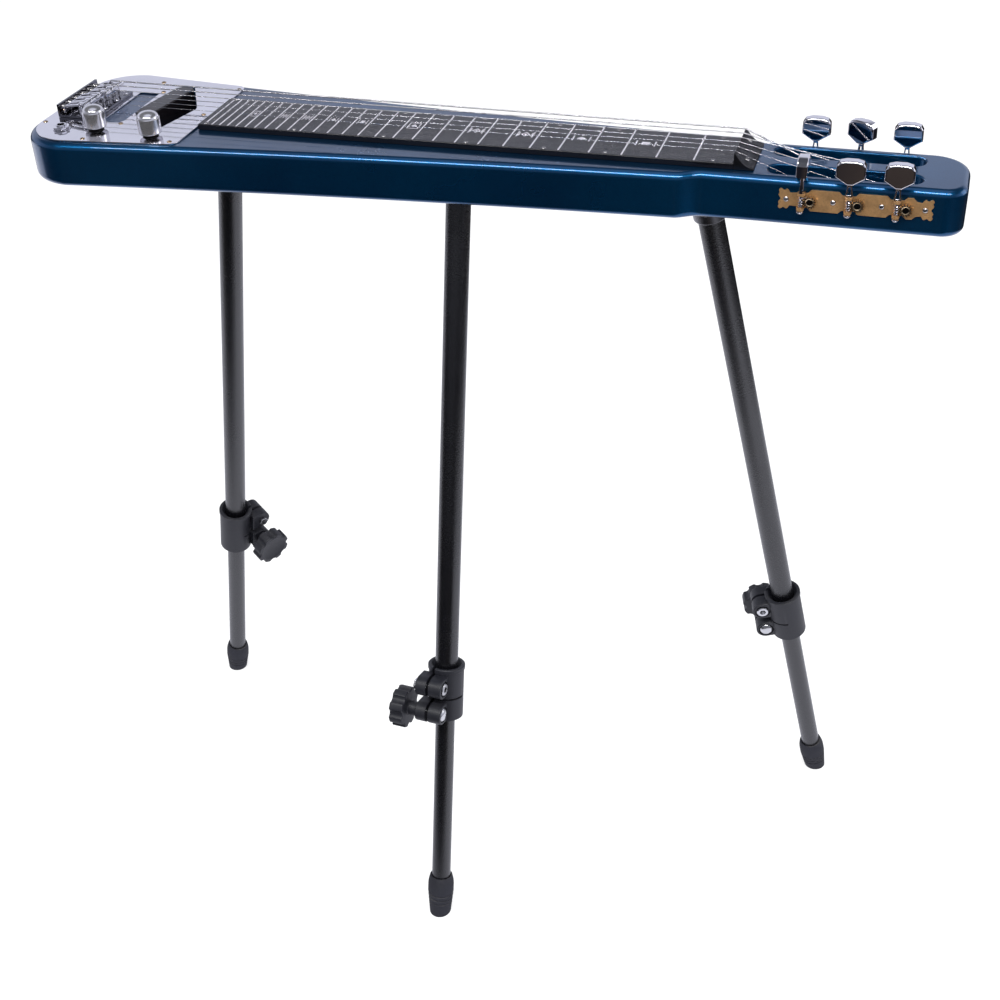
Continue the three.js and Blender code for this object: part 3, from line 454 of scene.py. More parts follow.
def end_tree(build, geometry, finish):
    """Makes what the tree grew real, gives it its material and returns the tree."""
    real = build.add("GeometryNodeRealizeInstances", {"Geometry": geometry})
    painted = build.add(
        "GeometryNodeSetMaterial", {"Geometry": real.outputs[0], "Material": finish})
    build.add("NodeGroupOutput", {"Geometry": painted.outputs[0]})
    return build.tree


def round_wire(build, path, radius, sides):
    """A wire of a radius along every spline of a path."""
    ring = build.add("GeometryNodeCurvePrimitiveCircle", {"Resolution": sides, "Radius": radius})
    return build.add("GeometryNodeCurveToMesh", {
        "Curve": path, "Profile Curve": ring.outputs[0], "Fill Caps": True}).outputs[0]


def screw_tree():
    """Sets one screw head on each point, facing along the point's own direction."""
    build, given = new_geometry_tree(
        "screw_heads", {"Screw": "NodeSocketObject", "Head size": 1.0})
    upright = build.add("FunctionNodeAlignRotationToVector", {
        "Vector": build.attribute("facing", "FLOAT_VECTOR")}, axis="Z")
    twist = build.add("FunctionNodeAxisAngleToRotation", {
        "Axis": (0, 0, 1), "Angle": build.attribute("spin")})
    rotation = build.add(
        "FunctionNodeRotateRotation",
        {"Rotation": upright.outputs[0], "Rotate By": twist.outputs[0]}, rotation_space="LOCAL")
    screw = build.add("GeometryNodeObjectInfo", {"Object": given["Screw"]})
    heads = build.add("GeometryNodeInstanceOnPoints", {
        "Points": given["Geometry"], "Instance": screw.outputs["Geometry"],
        "Rotation": rotation.outputs[0], "Scale": given["Head size"]})
    return end_tree(build, heads.outputs[0], given["Finish"])


def fret_line_tree():
    """Draws the fret lines: each is a twelfth root of two nearer the bridge than the last."""
    build, given = new_geometry_tree("fret_lines", {
        "Count": 28, "Scale length": SCALE_LENGTH, "Half width at nut": 28.2, "Taper": 0.011,
        "Margin": 2.0, "Line width": 1.3, "Line height": 0.1, "Level": float(PLAY_HEIGHT)})
    number = build.math("ADD", build.add("GeometryNodeInputIndex").outputs[0], 1.0)
    rest = build.math("POWER", 2.0, build.math("DIVIDE", number, -12.0))
    distance = build.math("MULTIPLY", given["Scale length"], build.math("SUBTRACT", 1.0, rest))
    place = build.vector(build.math("MULTIPLY", distance, -1.0), 0.0, given["Level"])
    points = build.add("GeometryNodePoints", {"Count": given["Count"], "Position": place})
    half = build.math("MULTIPLY_ADD", distance, given["Taper"], given["Half width at nut"])
    span = build.math("MULTIPLY", build.math("SUBTRACT", half, given["Margin"]), 2.0)
    kept = build.add("GeometryNodeCaptureAttribute", {"Geometry": points.outputs[0]})
    kept.capture_items.new("VECTOR", "size")
    build.link(build.vector(given["Line width"], span, given["Line height"]), kept.inputs[1])
    line = build.add("GeometryNodeMeshCube", {"Size": (1, 1, 1)})
    lines = build.add("GeometryNodeInstanceOnPoints", {
        "Points": kept.outputs[0], "Instance": line.outputs[0], "Scale": kept.outputs[1]})
    return end_tree(build, lines.outputs[0], given["Finish"])


def marker_tree():
    """Sets a printed marker in the middle of each fret space, as wide as the space allows."""
    build, given = new_geometry_tree(
        "fret_markers", {"Marker": "NodeSocketObject", "Share of space": 0.62})
    width = build.math("MULTIPLY", build.attribute("space"), given["Share of space"])
    marker = build.add("GeometryNodeObjectInfo", {"Object": given["Marker"]})
    marks = build.add("GeometryNodeInstanceOnPoints", {
        "Points": given["Geometry"], "Instance": marker.outputs["Geometry"],
        "Scale": build.vector(width, 1.0, 1.0)})
    return end_tree(build, marks.outputs[0], given["Finish"])


def wire_tree():
    """Draws a round wire along every spline of a curve."""
    build, given = new_geometry_tree("wire_on_path", {"Radius": 0.4, "Sides": 12})
    wire = round_wire(build, given["Geometry"], given["Radius"], given["Sides"])
    smooth = build.add("GeometryNodeSetShadeSmooth", {"Geometry": wire})
    return end_tree(build, smooth.outputs[0], given["Finish"])


def spring_tree():
    """Winds a coil spring on each point, lying along X and as long as the point says."""
    build, given = new_geometry_tree(
        "coil_springs", {"Coil radius": 2.2, "Wire radius": 0.32, "Turns": 5.0})
    coil = build.add("GeometryNodeCurveSpiral", {
        "Resolution": 14, "Rotations": given["Turns"], "Start Radius": given["Coil radius"],
        "End Radius": given["Coil radius"], "Height": 1.0})
    coils = build.add("GeometryNodeInstanceOnPoints", {
        "Points": given["Geometry"], "Instance": coil.outputs[0],
        "Rotation": (0, math.pi / 2, 0), "Scale": build.vector(1.0, 1.0, build.attribute("long"))})
    real = build.add("GeometryNodeRealizeInstances", {"Geometry": coils.outputs[0]})
    wire = round_wire(build, real.outputs[0], given["Wire radius"], 7)
    return end_tree(build, wire, given["Finish"])


def grown(tree, carrier, finish, **inputs):
    """Runs a geometry tree on a carrier object and returns the plain mesh, put in place."""
    inputs["Finish"] = FINISHES[finish]
    growth = carrier.modifiers.new("growth", "NODES")
    growth.node_group = TREES[tree]
    for item in TREES[tree].interface.items_tree:
        label = item.name.replace(" ", "_")
        if item.item_type == "SOCKET" and item.in_out == "INPUT" and label in inputs:
            growth[item.identifier] = inputs[label]
    mesh = evaluated(carrier)
    dropped(carrier)
    mesh.transform(TO_FRAME)
    return mesh


def point_carrier(points, **attributes):
    """An object whose vertices carry what a tree sets on them."""
    mesh = bpy.data.meshes.new("points")
    mesh.from_pydata(points, [], [])
    for name, values in attributes.items():
        vector = isinstance(values[0], tuple)
        attribute = mesh.attributes.new(name, "FLOAT_VECTOR" if vector else "FLOAT", "POINT")
        flat = [n for value in values for n in value] if vector else values
        attribute.data.foreach_set("vector" if vector else "value", flat)
    return linked("points", mesh)


def path_carrier(path):
    """An object with a path as one poly spline."""
    data = bpy.data.curves.new("path", "CURVE")
    data.dimensions = "3D"
    spline = data.splines.new("POLY")
    spline.points.add(len(path) - 1)
    spline.points.foreach_set("co", [n for point in path for n in (*point, 1.0)])
    return linked("path", data)


TREES = {}


def make_trees():
    TREES.update(
        screws=screw_tree(), fret_lines=fret_line_tree(), markers=marker_tree(),
        wires=wire_tree(), springs=spring_tree())


# Shader groups
GROUPS = {}
FINISHES = {}


def shader_group(name, inputs):
    """A group of shader nodes that takes numbers. What it gives is named by end_group."""
    tree = bpy.data.node_groups.new(name, "ShaderNodeTree")
    build = Tree(tree)
    for label, default in inputs.items():
        build.socket(label, "NodeSocketFloat", default)
    GROUPS[name] = tree
    return build, build.add("NodeGroupInput").outputs


def end_group(build, **outputs):
    for label in outputs:
        build.socket(label, "NodeSocketFloat", output=True)
    build.add("NodeGroupOutput", outputs)


def noise(build, where, scale, detail=3.0, rough=0.55):
    return build.add("ShaderNodeTexNoise", {
        "Vector": where, "Scale": scale, "Detail": detail, "Roughness": rough}).outputs["Fac"]


def spread(build, value, low, high, to_low=0.0, to_high=1.0):
    return build.add("ShaderNodeMapRange", {
        "Value": value, "From Min": low, "From Max": high, "To Min": to_low,
        "To Max": to_high}, clamp=True).outputs[0]


def scratch_lines(build, where, rotation, scale, low, high):
    """Fine lines that run one way."""
    drawn = build.add("ShaderNodeMapping", {
        "Vector": where, "Rotation": rotation, "Scale": scale}).outputs[0]
    return spread(build, noise(build, drawn, 1.0, 1.0), low, high)


def make_groups():
    """Effects that more than one material uses."""
    build, given = shader_group("handling_wear", {"Scale": 40.0, "Scratches": 0.5})
    where = build.place()
    smudge = spread(build, noise(build, where, given["Scale"], 4.0, 0.6), 0.35, 0.7)
    lines = build.math(
        "MAXIMUM", scratch_lines(build, where, (0.1, 0.05, 0.35), (14, 900, 300), 0.66, 0.72),
        scratch_lines(build, where, (0.0, 0.1, -0.6), (18, 700, 400), 0.68, 0.74))
    end_group(build, Smudge=smudge, Scratch=build.math("MULTIPLY", lines, given["Scratches"]))

    build, given = shader_group("crackle_grain", {"Grain size": 0.0011, "Depth": 1.0})
    where = build.place()
    scale = build.math("DIVIDE", 1.0, given["Grain size"])
    cells = build.add("ShaderNodeTexVoronoi", {"Vector": where, "Scale": scale},
                      feature="SMOOTH_F1").outputs["Distance"]
    ripple = noise(build, where, build.math("MULTIPLY", scale, 0.7), 3.0, 0.6)
    height = build.math("MULTIPLY", build.math("ADD", cells, ripple), given["Depth"])
    end_group(build, Height=height, Crest=spread(build, ripple, 0.52, 0.7))

    build, given = shader_group("settled_dust", {"Amount": 0.3, "Scale": 60.0})
    normal = build.add("ShaderNodeNewGeometry").outputs["Normal"]
    up = build.add("ShaderNodeSeparateXYZ", {"Vector": normal}).outputs["Z"]
    patch = spread(build, noise(build, build.place(), given["Scale"], 5.0, 0.65), 0.4, 0.75)
    covered = build.math("MULTIPLY", spread(build, up, 0.2, 1.0), patch)
    end_group(build, Dust=build.math("MULTIPLY", covered, given["Amount"]))


def new_finish(name):
    """A material with an empty Principled surface, kept under its name."""
    material = bpy.data.materials.new(name)
    material.use_nodes = True
    material.node_tree.nodes.clear()
    build = Tree(material.node_tree)
    shader = build.add("ShaderNodeBsdfPrincipled")
    build.add("ShaderNodeOutputMaterial", {"Surface": shader.outputs[0]})
    FINISHES[name] = material
    return build, shader


def group_outputs(build, name, **values):
    """Adds a shader group with its settings and returns what it gives."""
    node = build.add("ShaderNodeGroup")
    node.node_tree = GROUPS[name]
    for key, value in values.items():
        node.inputs[key.replace("_", " ")].default_value = value
    return node.outputs


def blend_colour(build, factor, a, b):
    """Mixes two colours, each a fixed colour or a socket."""
    mixed = build.add("ShaderNodeMix", {"Factor": factor}, data_type="RGBA")
    for key, value in ((6, a), (7, b)):
        if isinstance(value, bpy.types.NodeSocket):
            build.link(value, mixed.inputs[key])
        else:
            mixed.inputs[key].default_value = (*value, 1)
    return mixed.outputs[2]


def surface(build, shader, colour, rough, **constants):
    """Links a varying colour and roughness to a surface and sets its constant values."""
    build.link(colour, shader.inputs["Base Color"])
    build.link(rough, shader.inputs["Roughness"])
    for key, value in constants.items():
        shader.inputs[key.replace("_", " ")].default_value = value


def bump(build, shader, height, distance, strength=1.0):
    node = build.add("ShaderNodeBump", {
        "Height": height, "Distance": distance, "Strength": strength})
    build.link(node.outputs[0], shader.inputs["Normal"])


def shade(colour, share):
    return tuple(channel * share for channel in colour)


def make_lacquer(settings):
    """Metallic blue flake under a clear coat."""
    build, shader = new_finish("blue_lacquer")
    where = build.place()
    wear = group_outputs(build, "handling_wear", Scale=9.0, Scratches=0.4)
    cloud = spread(build, noise(build, where, 7.0, 2.0), 0.3, 0.7)
    flake = build.add("ShaderNodeTexVoronoi", {"Vector": where, "Scale": 2600.0}).outputs["Color"]
    spark = build.add("ShaderNodeSeparateColor", {"Color": flake}).outputs[0]
    mixed = build.math("MULTIPLY_ADD", spark, 0.35, build.math("MULTIPLY", cloud, 0.65))
    surface(build, shader, blend_colour(build, mixed, settings.lacquer_deep, settings.lacquer),
            spread(build, wear["Smudge"], 0, 1, 0.26, 0.34),
            Metallic=0.9, Coat_Weight=0.85, Coat_Roughness=0.025, Coat_IOR=1.45)
    bump(build, shader, spark, 0.00001, 0.25)


def make_metal(name, colour, rough, dark=0.75, scratches=0.4, scale=30.0, brushed=None,
               metallic=1.0):
    """Bare or plated metal with smudges, fine scratches and, where asked, brushing."""
    build, shader = new_finish(name)
    wear = group_outputs(build, "handling_wear", Scale=scale, Scratches=scratches)
    base = blend_colour(build, wear["Smudge"], colour, shade(colour, dark))
    value = build.math("MULTIPLY_ADD", wear["Smudge"], rough * 0.5, rough * 0.75)
    value = build.math("MULTIPLY_ADD", wear["Scratch"], 0.12, value)
    height = wear["Scratch"]
    if brushed:
        drawn = build.add("ShaderNodeMapping", {"Vector": build.place(), "Scale": brushed})
        grain = noise(build, drawn.outputs[0], 1.0, 3.0, 0.7)
        value = build.math("MULTIPLY_ADD", grain, 0.18, value)
        height = build.math("ADD", grain, height)
    surface(build, shader, base, value, Metallic=metallic)
    bump(build, shader, height, 0.00003, 0.3)


def make_brass(colour):
    """Aged brass: brushed, with brown patina in clouds."""
    build, shader = new_finish("aged_brass")
    where = build.place()
    wear = group_outputs(build, "handling_wear", Scale=55.0, Scratches=0.8)
    cloud = spread(build, noise(build, where, 120.0, 5.0, 0.65), 0.35, 0.7)
    base = blend_colour(build, cloud, colour, shade(colour, 0.6))
    speck = spread(build, noise(build, where, 900.0, 2.0), 0.6, 0.75)
    rough = build.math("MULTIPLY_ADD", cloud, 0.14, 0.33)
    surface(build, shader, blend_colour(build, speck, base, shade(colour, 0.4)),
            build.math("MULTIPLY_ADD", wear["Scratch"], -0.1, rough), Metallic=0.7)
    drawn = build.add("ShaderNodeMapping", {"Vector": where, "Scale": (60, 400, 2600)})
    bump(build, shader, noise(build, drawn.outputs[0], 1.0, 3.0), 0.00004, 0.35)


def make_plastic(name, colour, rough, grain, depth, dusty, spec=0.5):
    """Black sheet, moulded plastic or rubber with fine grain and a little dust."""
    build, shader = new_finish(name)
    wear = group_outputs(build, "handling_wear", Scale=22.0, Scratches=0.5)
    texture = group_outputs(build, "crackle_grain", Grain_size=grain)
    dust = group_outputs(build, "settled_dust", Amount=dusty, Scale=45.0)
    base = blend_colour(build, wear["Smudge"], colour, shade(colour, 1.5))
    value = build.math("MULTIPLY_ADD", wear["Smudge"], 0.08, rough)
    surface(build, shader, blend_colour(build, dust["Dust"], base, (0.2, 0.19, 0.18)),
            build.math("MULTIPLY_ADD", wear["Scratch"], 0.1, value), Specular_IOR_Level=spec)
    bump(build, shader, texture["Height"], depth, 0.5)


def make_crackle(settings):
    """Crackle paint on the tubes: a wrinkled black skin that glitters where light grazes it."""
    build, shader = new_finish("crackle_paint")
    grain = group_outputs(build, "crackle_grain", Grain_size=settings.crackle, Depth=1.0)
    wear = group_outputs(build, "handling_wear", Scale=12.0, Scratches=0.3)
    colour = settings.paint
    base = blend_colour(build, grain["Crest"], colour, shade(colour, 2.6))
    rubbed = spread(build, noise(build, build.place(), 18.0, 4.0), 0.62, 0.8, 0.0, 0.35)
    rough = build.math("MULTIPLY_ADD", grain["Crest"], -0.06, 0.22)
    surface(build, shader, blend_colour(build, rubbed, base, shade(colour, 3.2)),
            build.math("MULTIPLY_ADD", wear["Smudge"], 0.1, rough), Specular_IOR_Level=1.0)
    bump(build, shader, grain["Height"], 0.0003, 0.4)


def make_wound_wire(colour):
    """A steel string with its wrap wire as fine ridges along it."""
    build, shader = new_finish("string_wire")
    wear = group_outputs(build, "handling_wear", Scale=15.0, Scratches=0.2)
    surface(build, shader, blend_colour(build, wear["Smudge"], colour, shade(colour, 0.8)),
            build.math("MULTIPLY_ADD", wear["Smudge"], 0.1, 0.22), Metallic=1.0)
    ridges = build.add("ShaderNodeTexWave", {
        "Vector": build.place(), "Scale": 420.0, "Distortion": 0.0}, bands_direction="X")
    bump(build, shader, ridges.outputs["Fac"], 0.00006, 0.6)


def make_print(colour):
    """Printed lines and markers, a little worn where the steel bar runs."""
    build, shader = new_finish("printed_line")
    worn = spread(build, noise(build, build.place(), 160.0, 4.0, 0.7), 0.5, 0.8)
    surface(build, shader, blend_colour(build, worn, colour, shade(colour, 0.62)),
            build.math("MULTIPLY_ADD", worn, 0.2, 0.3), Metallic=0.35)


def make_finishes():
    """All materials but the floor's."""
    scene = bpy.context.scene
    body, metal, legs = scene.lap_steel_body, scene.lap_steel_metal, scene.lap_steel_legs
    make_groups()
    make_lacquer(body)
    make_metal("chrome_sheet", metal.chrome, 0.07, dark=0.92, scratches=0.5, scale=14.0)
    make_metal("chrome_plate", metal.chrome, 0.05, dark=0.88, scratches=0.35)
    make_metal("knob_chrome", shade(metal.chrome, 0.9), 0.17, metallic=0.92)
    # The bridge plate is chrome, painted dark grey as painted shade under the saddles and in their
    # slots
    make_metal("bridge_steel", (0.2, 0.2, 0.23), 0.12, dark=0.7)
    make_metal("bright_steel", metal.steel, 0.22, dark=0.8, scratches=0.7)
    make_metal("dark_steel", (0.2, 0.2, 0.21), 0.35, dark=0.7)
    make_metal("zinc", (0.72, 0.72, 0.73), 0.24, dark=0.8, scratches=0.6)
    # Near-black steel: painted shade in each gear's hollow and in the groove under each knob
    make_metal("black_oxide", (0.03, 0.03, 0.032), 0.4, dark=0.7)
    make_metal("gunmetal", metal.gunmetal, 0.36, dark=0.7, scratches=1.0, scale=120.0,
               brushed=(500, 60, 900))
    make_metal("gear_brass", (0.8, 0.62, 0.4), 0.25, dark=0.6)
    make_metal("gilt_screw", (0.72, 0.55, 0.38), 0.25, dark=0.6)
    make_metal("plain_wire", metal.wire, 0.2, dark=0.8)
    make_brass(metal.brass)
    make_wound_wire(metal.wire)
    make_print(body.line_colour)
    make_plastic("pickup_gloss", (0.006, 0.005, 0.006), 0.12, 0.004, 0.000004, 0.015, 0.45)
    make_plastic("fretboard_gloss", body.fretboard, 0.12, 0.002, 0.00001, 0.015)
    make_plastic("clamp_plastic", legs.plastic, 0.42, 0.0005, 0.00006, 0.1)
    make_plastic("foot_rubber", legs.rubber, 0.7, 0.0007, 0.0001, 0.3, 0.35)
    make_crackle(legs)


# Body, plate, pickup, fretboard and nut
def flare_half(from_nut):
    """Half width of the body behind the step: a taper that hangs slightly inside a straight
    line."""
    share = (from_nut - STEP_START) / (BODY_TAIL - STEP_START)
    return WAIST_HALF + (TAIL_HALF - WAIST_HALF) * share - 4 * FLARE_BOW * share * (1 - share)


def tail_arc(inset, steps=18):
    """The tail's corner, from the tail's end round to the side."""
    reach = flare_half(BODY_TAIL - TAIL_CORNER) - TAIL_CORNER
    return curve(TAIL_CORNER - BODY_TAIL, reach, TAIL_CORNER - inset, 180, 90, steps)


def body_side(corner):
    """One side of the body from the middle of the tail to the middle of the head."""
    start = BODY_TAIL - TAIL_CORNER
    points = tail_arc(0)
    for k in range(1, FLARE_POINTS + 1):
        from_nut = start + (STEP_START - start) * k / FLARE_POINTS
        points.append((-from_nut, flare_half(from_nut)))
    for k in range(1, STEP_POINTS + 1):
        share = k / STEP_POINTS
        from_nut = STEP_START + (STEP_END - STEP_START) * share
        fall = (WAIST_HALF - HEAD_HALF) * (1 - math.cos(math.pi * share)) / 2
        points.append((-from_nut, WAIST_HALF - fall))
    return points + curve(BODY_HEAD - corner, HEAD_HALF - corner, corner, 90, 0, 12)


def body_outline():
    near = [(x, -y) for x, y in body_side(HEAD_CORNERS[-1])]
    return near + body_side(HEAD_CORNERS[1])[::-1]


def slot_cutter(side):
    """A string slot whose two rims are rounded over."""
    depths = [SLOT_ROUND * k / 4 for k in range(5)]
    wide = [SLOT_ROUND - math.sqrt(SLOT_ROUND**2 - (SLOT_ROUND - d) ** 2) for d in depths]
    levels = [(BODY_BOTTOM - OVERRUN, SLOT_ROUND)]
    levels += [(BODY_BOTTOM + d, w) for d, w in zip(depths, wide)]
    levels += [(BODY_TOP - d, w) for d, w in reversed(list(zip(depths, wide)))]
    levels += [(BODY_TOP + OVERRUN, SLOT_ROUND)]
    middle = SLOT_FROM_NUT + SLOT_LENGTH / 2
    return skin([
        [(x + middle, y + side * SLOT_ACROSS, z)
         for x, y in stadium(SLOT_LENGTH + 2 * w, SLOT_WIDTH + 2 * w, 14)]
        for z, w in levels])


# Openings as a place and a size, with their corners as shares of the size
WINDOW = (-547.5, 2, 21, 76)
WINDOW_SHARES = (
    (-0.5, 0.5), (0.4, 0.5), (0.49, -0.41), (0.34, -0.49), (-0.21, -0.5), (-0.46, -0.39))
OPENING = (-512.9, 9.6, 51.8, 108.3)
OPENING_SHARES = (
    (-0.326, 0.437), (-0.241, 0.5), (-0.048, 0.5), (0.027, 0.437), (0.471, 0.04), (0.5, -0.006),
    (0.307, -0.44), (0.232, -0.5), (0.04, -0.5), (-0.5, -0.165))


def share_outline(place, shares, margin=0.0):
    """The outline of an opening, grown by a margin on every side."""
    x, y, width, length = place
    return [(x + sx * (width + 2 * margin), y + sy * (length + 2 * margin)) for sx, sy in shares]


CAVITY_PLACE, CAVITY_SIZE, CAVITY_CORNER, CAVITY_DEPTH = (-538, -58), (118, 28), 9, 31
POST_HOLE_START = 3.7


def cavity_outline():
    """The hollow under the knobs and the output socket."""
    x, y = (size / 2 - CAVITY_CORNER for size in CAVITY_SIZE)
    points = []
    for quarter, (cx, cy) in enumerate(((x, y), (-x, y), (-x, -y), (x, -y))):
        start = 90 * quarter
        points += curve(CAVITY_PLACE[0] + cx, CAVITY_PLACE[1] + cy, CAVITY_CORNER, start,
                        start + 90, 6)
    return points


def make_body(context):
    round_over = context.scene.lap_steel_body.edge_round / MM
    slab = padded(body_outline(), BODY_BOTTOM, BODY_TOP, round_over, 9)
    holes = [
        placed(rod(POST_RADIUS + SEAT, POST_HOLE_START, HEAD_HALF + OVERRUN, 24), x=place,
               z=POST_HEIGHT, turn=about("X", -90 * side))
        for place in POST_PLACES for _, side in SIDES]
    pocket = share_outline(OPENING, OPENING_SHARES, 1)
    shell = carved(
        slab, slot_cutter(-1), slot_cutter(1),
        prism(pocket, BODY_TOP - POCKET_DEPTH, BODY_TOP + OVERRUN),
        prism(cavity_outline(), BODY_TOP - CAVITY_DEPTH, BODY_TOP + OVERRUN), *holes)
    make_piece("body_shell", shell, "blue_lacquer", "blue_lacquer", ["body"])


PLATE_FOOT = BODY_TOP + SEAT
PLATE_CORNER = 9
PLATE_SCREWS = (
    (-606, -46.5), (-552, -77), (-537, -37), (-549, 68), (-537, 44), (-474, -2.4), (-474, -68),
    (-470.5, 64))
PLATE_HOLES = ((5.2, JACK_PLACE), (3.9, KNOB_PLACES[0]), (3.9, KNOB_PLACES[1]))


def plate_outline():
    """The tail's outline, drawn in by the plate's inset and closed across the body."""
    start, end = BODY_TAIL - TAIL_CORNER, PLATE_END + PLATE_CORNER
    side = tail_arc(PLATE_INSET)
    for k in range(1, 9):
        from_nut = start + (end - start) * k / 8
        side.append((-from_nut, flare_half(from_nut) - PLATE_INSET))
    side += curve(-end, side[-1][1] - PLATE_CORNER, PLATE_CORNER, 90, 0, 8)[1:]
    return [(x, -y) for x, y in side] + side[::-1]


def screw_head(radius, rise, recess="cross"):
    """A domed head with a cross or a slot, drawn from the face that it sits on."""
    dome = [(radius * math.cos(math.radians(a)), rise * math.sin(math.radians(a)))
            for a in (0, 15, 32, 50, 70)]
    head = turned([(0, -0.3), (radius, -0.3)] + dome + [(0, rise)], 20)
    arm, half, deep = radius * 0.62, radius * 0.11, rise * 0.35
    cuts = [block(-arm, arm, -half, half, deep, rise + 1)]
    if recess == "cross":
        cuts.append(block(-half, half, -arm, arm, deep, rise + 1))
    return carved(head, *cuts)


def make_screws(name, screw, places, finish, slot, size=1.0):
    """Sets like screws on their places, each a point and a direction, as one piece."""
    template = stand_in(screw)
    carrier = point_carrier(
        [at for at, _ in places], facing=[way for _, way in places],
        spin=[k * GOLDEN_TURN for k in range(len(places))])
    mesh = grown("screws", carrier, finish, Screw=template, Head_size=size)
    dropped(template)
    dress_mesh(name, mesh, finish, slot, least=40, flats=False)


def make_plate(context):
    low, high = PLATE_FOOT - OVERRUN, PLATE_TOP + OVERRUN
    sheet = carved(
        prism(plate_outline(), PLATE_FOOT, PLATE_TOP),
        prism(share_outline(WINDOW, WINDOW_SHARES), low, high),
        prism(share_outline(OPENING, OPENING_SHARES), low, high),
        *(placed(rod(radius, low, high, 28), *place) for radius, place in PLATE_HOLES))
    make_piece("control_plate_sheet", eased(sheet, 0.3, least=60), "chrome_sheet",
               "plate_chrome", ["control_plate"])
    places = [((x, y, PLATE_TOP), (0, 0, 1)) for x, y in PLATE_SCREWS]
    make_screws("plate_screws", screw_head(1, 0.42), places, "gilt_screw", "plate_chrome",
                context.scene.lap_steel_metal.screw_size / MM / 2)


PICKUP_PLACE, PICKUP_TURN, PICKUP_LENGTH, PICKUP_WIDTH = (-524.7, 23.3), 82.5, 77.1, 17.5


def make_pickup(context):
    foot, top = BODY_TOP - POCKET_DEPTH + SEAT, PLATE_TOP + 0.6
    bar = padded(stadium(PICKUP_LENGTH, PICKUP_WIDTH, 18), foot, top, 1.2, 4)
    placed(bar, *PICKUP_PLACE, turn=about("Z", PICKUP_TURN))
    make_piece("pickup_cover", bar, "pickup_gloss", "pickup_black", ["pickup"])


BOARD_END, BOARD_NUT_HALF, BOARD_END_HALF = 464, 28.2, 33.4
BOARD_TAPER = (BOARD_END_HALF - BOARD_NUT_HALF) / BOARD_END
BOARD_SCREWS = (-16.9, -104.7, -155.9, -222.5, -294.9, -375.9, -457)
MARKED_SPACES = {
    "square": (3, 15), "diamond": (5, 17), "wide": (7, 9, 19, 21), "framed": (12, 24)}
MARKER_LOW, MARKER_HIGH = PLAY_HEIGHT - 0.02, PLAY_HEIGHT + 0.05
MARKER_LINE = 0.07


def fret_place(number):
    return -SCALE_LENGTH * (1 - 2 ** (-number / 12))


def diamond(reach, half):
    return [(reach, 0), (0, half), (-reach, 0), (0, -half)]


def rectangle(reach, half):
    return [(-reach, -half), (reach, -half), (reach, half), (-reach, half)]


def marker_sheet(outline):
    return prism(outline, MARKER_LOW, MARKER_HIGH)


def marker_ring(outer, inner):
    return carved(marker_sheet(outer), prism(inner, MARKER_LOW - 1, MARKER_HIGH + 1))


def marker_bars(*bars):
    """A pair of bars across the strings for each reach and half length."""
    return [placed(marker_sheet(rectangle(MARKER_LINE / 2, half)), side * reach)
            for reach, half in bars for side in (-1, 1)]


def marker_shape(kind):
    """A flat geometric marker one unit long along X and some millimetres across."""
    if kind == "square":
        return joined(marker_sheet(rectangle(0.2, 3)), *marker_bars((0.46, 5)))
    if kind == "diamond":
        return joined(marker_sheet(diamond(0.27, 3.6)), *marker_bars((0.46, 5)))
    if kind == "wide":
        return joined(
            marker_ring(diamond(0.3, 5), diamond(0.2, 3.3)), marker_sheet(diamond(0.1, 1.6)),
            *marker_bars((0.4, 4), (0.5, 6)))
    return joined(marker_ring(rectangle(0.5, 6.5), rectangle(0.42, 5.6)),
                  marker_sheet(diamond(0.25, 3.6)))


def make_fretboard(context):
    settings = context.scene.lap_steel_body
    outline = [(-BOARD_END, -BOARD_END_HALF), (-SEAT, -BOARD_NUT_HALF), (-SEAT, BOARD_NUT_HALF),
               (-BOARD_END, BOARD_END_HALF)]
    board = padded(outline, BODY_TOP + SEAT, PLAY_HEIGHT, 0.8, 4, above=BODY_TOP + 1)
    make_piece("fretboard_sheet", board, "fretboard_gloss", "fretboard_black", ["fretboard"])
    lines = grown(
        "fret_lines", point_carrier([(0, 0, 0)]), "printed_line", Count=settings.line_count,
        Scale_length=SCALE_LENGTH, Half_width_at_nut=BOARD_NUT_HALF, Taper=BOARD_TAPER,
        Margin=1.6, Line_width=settings.line_width / MM, Line_height=0.12,
        Level=float(PLAY_HEIGHT))
    dress_mesh("fret_lines", lines, "printed_line", "fretboard_black", flats=False)
    marks = []
    for kind, numbers in MARKED_SPACES.items():
        template = stand_in(marker_shape(kind))
        ends = [(fret_place(n), fret_place(n - 1)) for n in numbers]
        carrier = point_carrier(
            [((low + high) / 2, 0, 0) for low, high in ends],
            space=[high - low for low, high in ends])
        marks.append(as_shape(grown(
            "markers", carrier, "printed_line", Marker=template, Share_of_space=0.6)))
        dropped(template)
    dress_mesh("fret_markers", as_mesh(joined(*marks)), "printed_line", "fretboard_black",
               flats=False)
    places = []
    for x in BOARD_SCREWS:
        half = BOARD_NUT_HALF - x * BOARD_TAPER - 4
        places += [((x, side * half, PLAY_HEIGHT), (0, 0, 1)) for side in (-1, 1)]
    make_screws("fretboard_screws", screw_head(1.7, 0.7), places, "bright_steel", "gear_steel")


NUT_FOOT = BODY_TOP + SEAT
NUT_TOE = NUT_FOOT + 1.4
NUT_LENGTH, NUT_HALF = 16, 28.5
APRON_START = 0.9
APRON_RUN = NUT_LENGTH - APRON_START
NUT_SCREWS = ((9, -15), (6, 18))


def apron_height(share):
    """Height of the nut's hollow apron at a share of its run."""
    return NUT_TOE + (NUT_RIDGE_HEIGHT - NUT_TOE) * (1 - share) ** 2


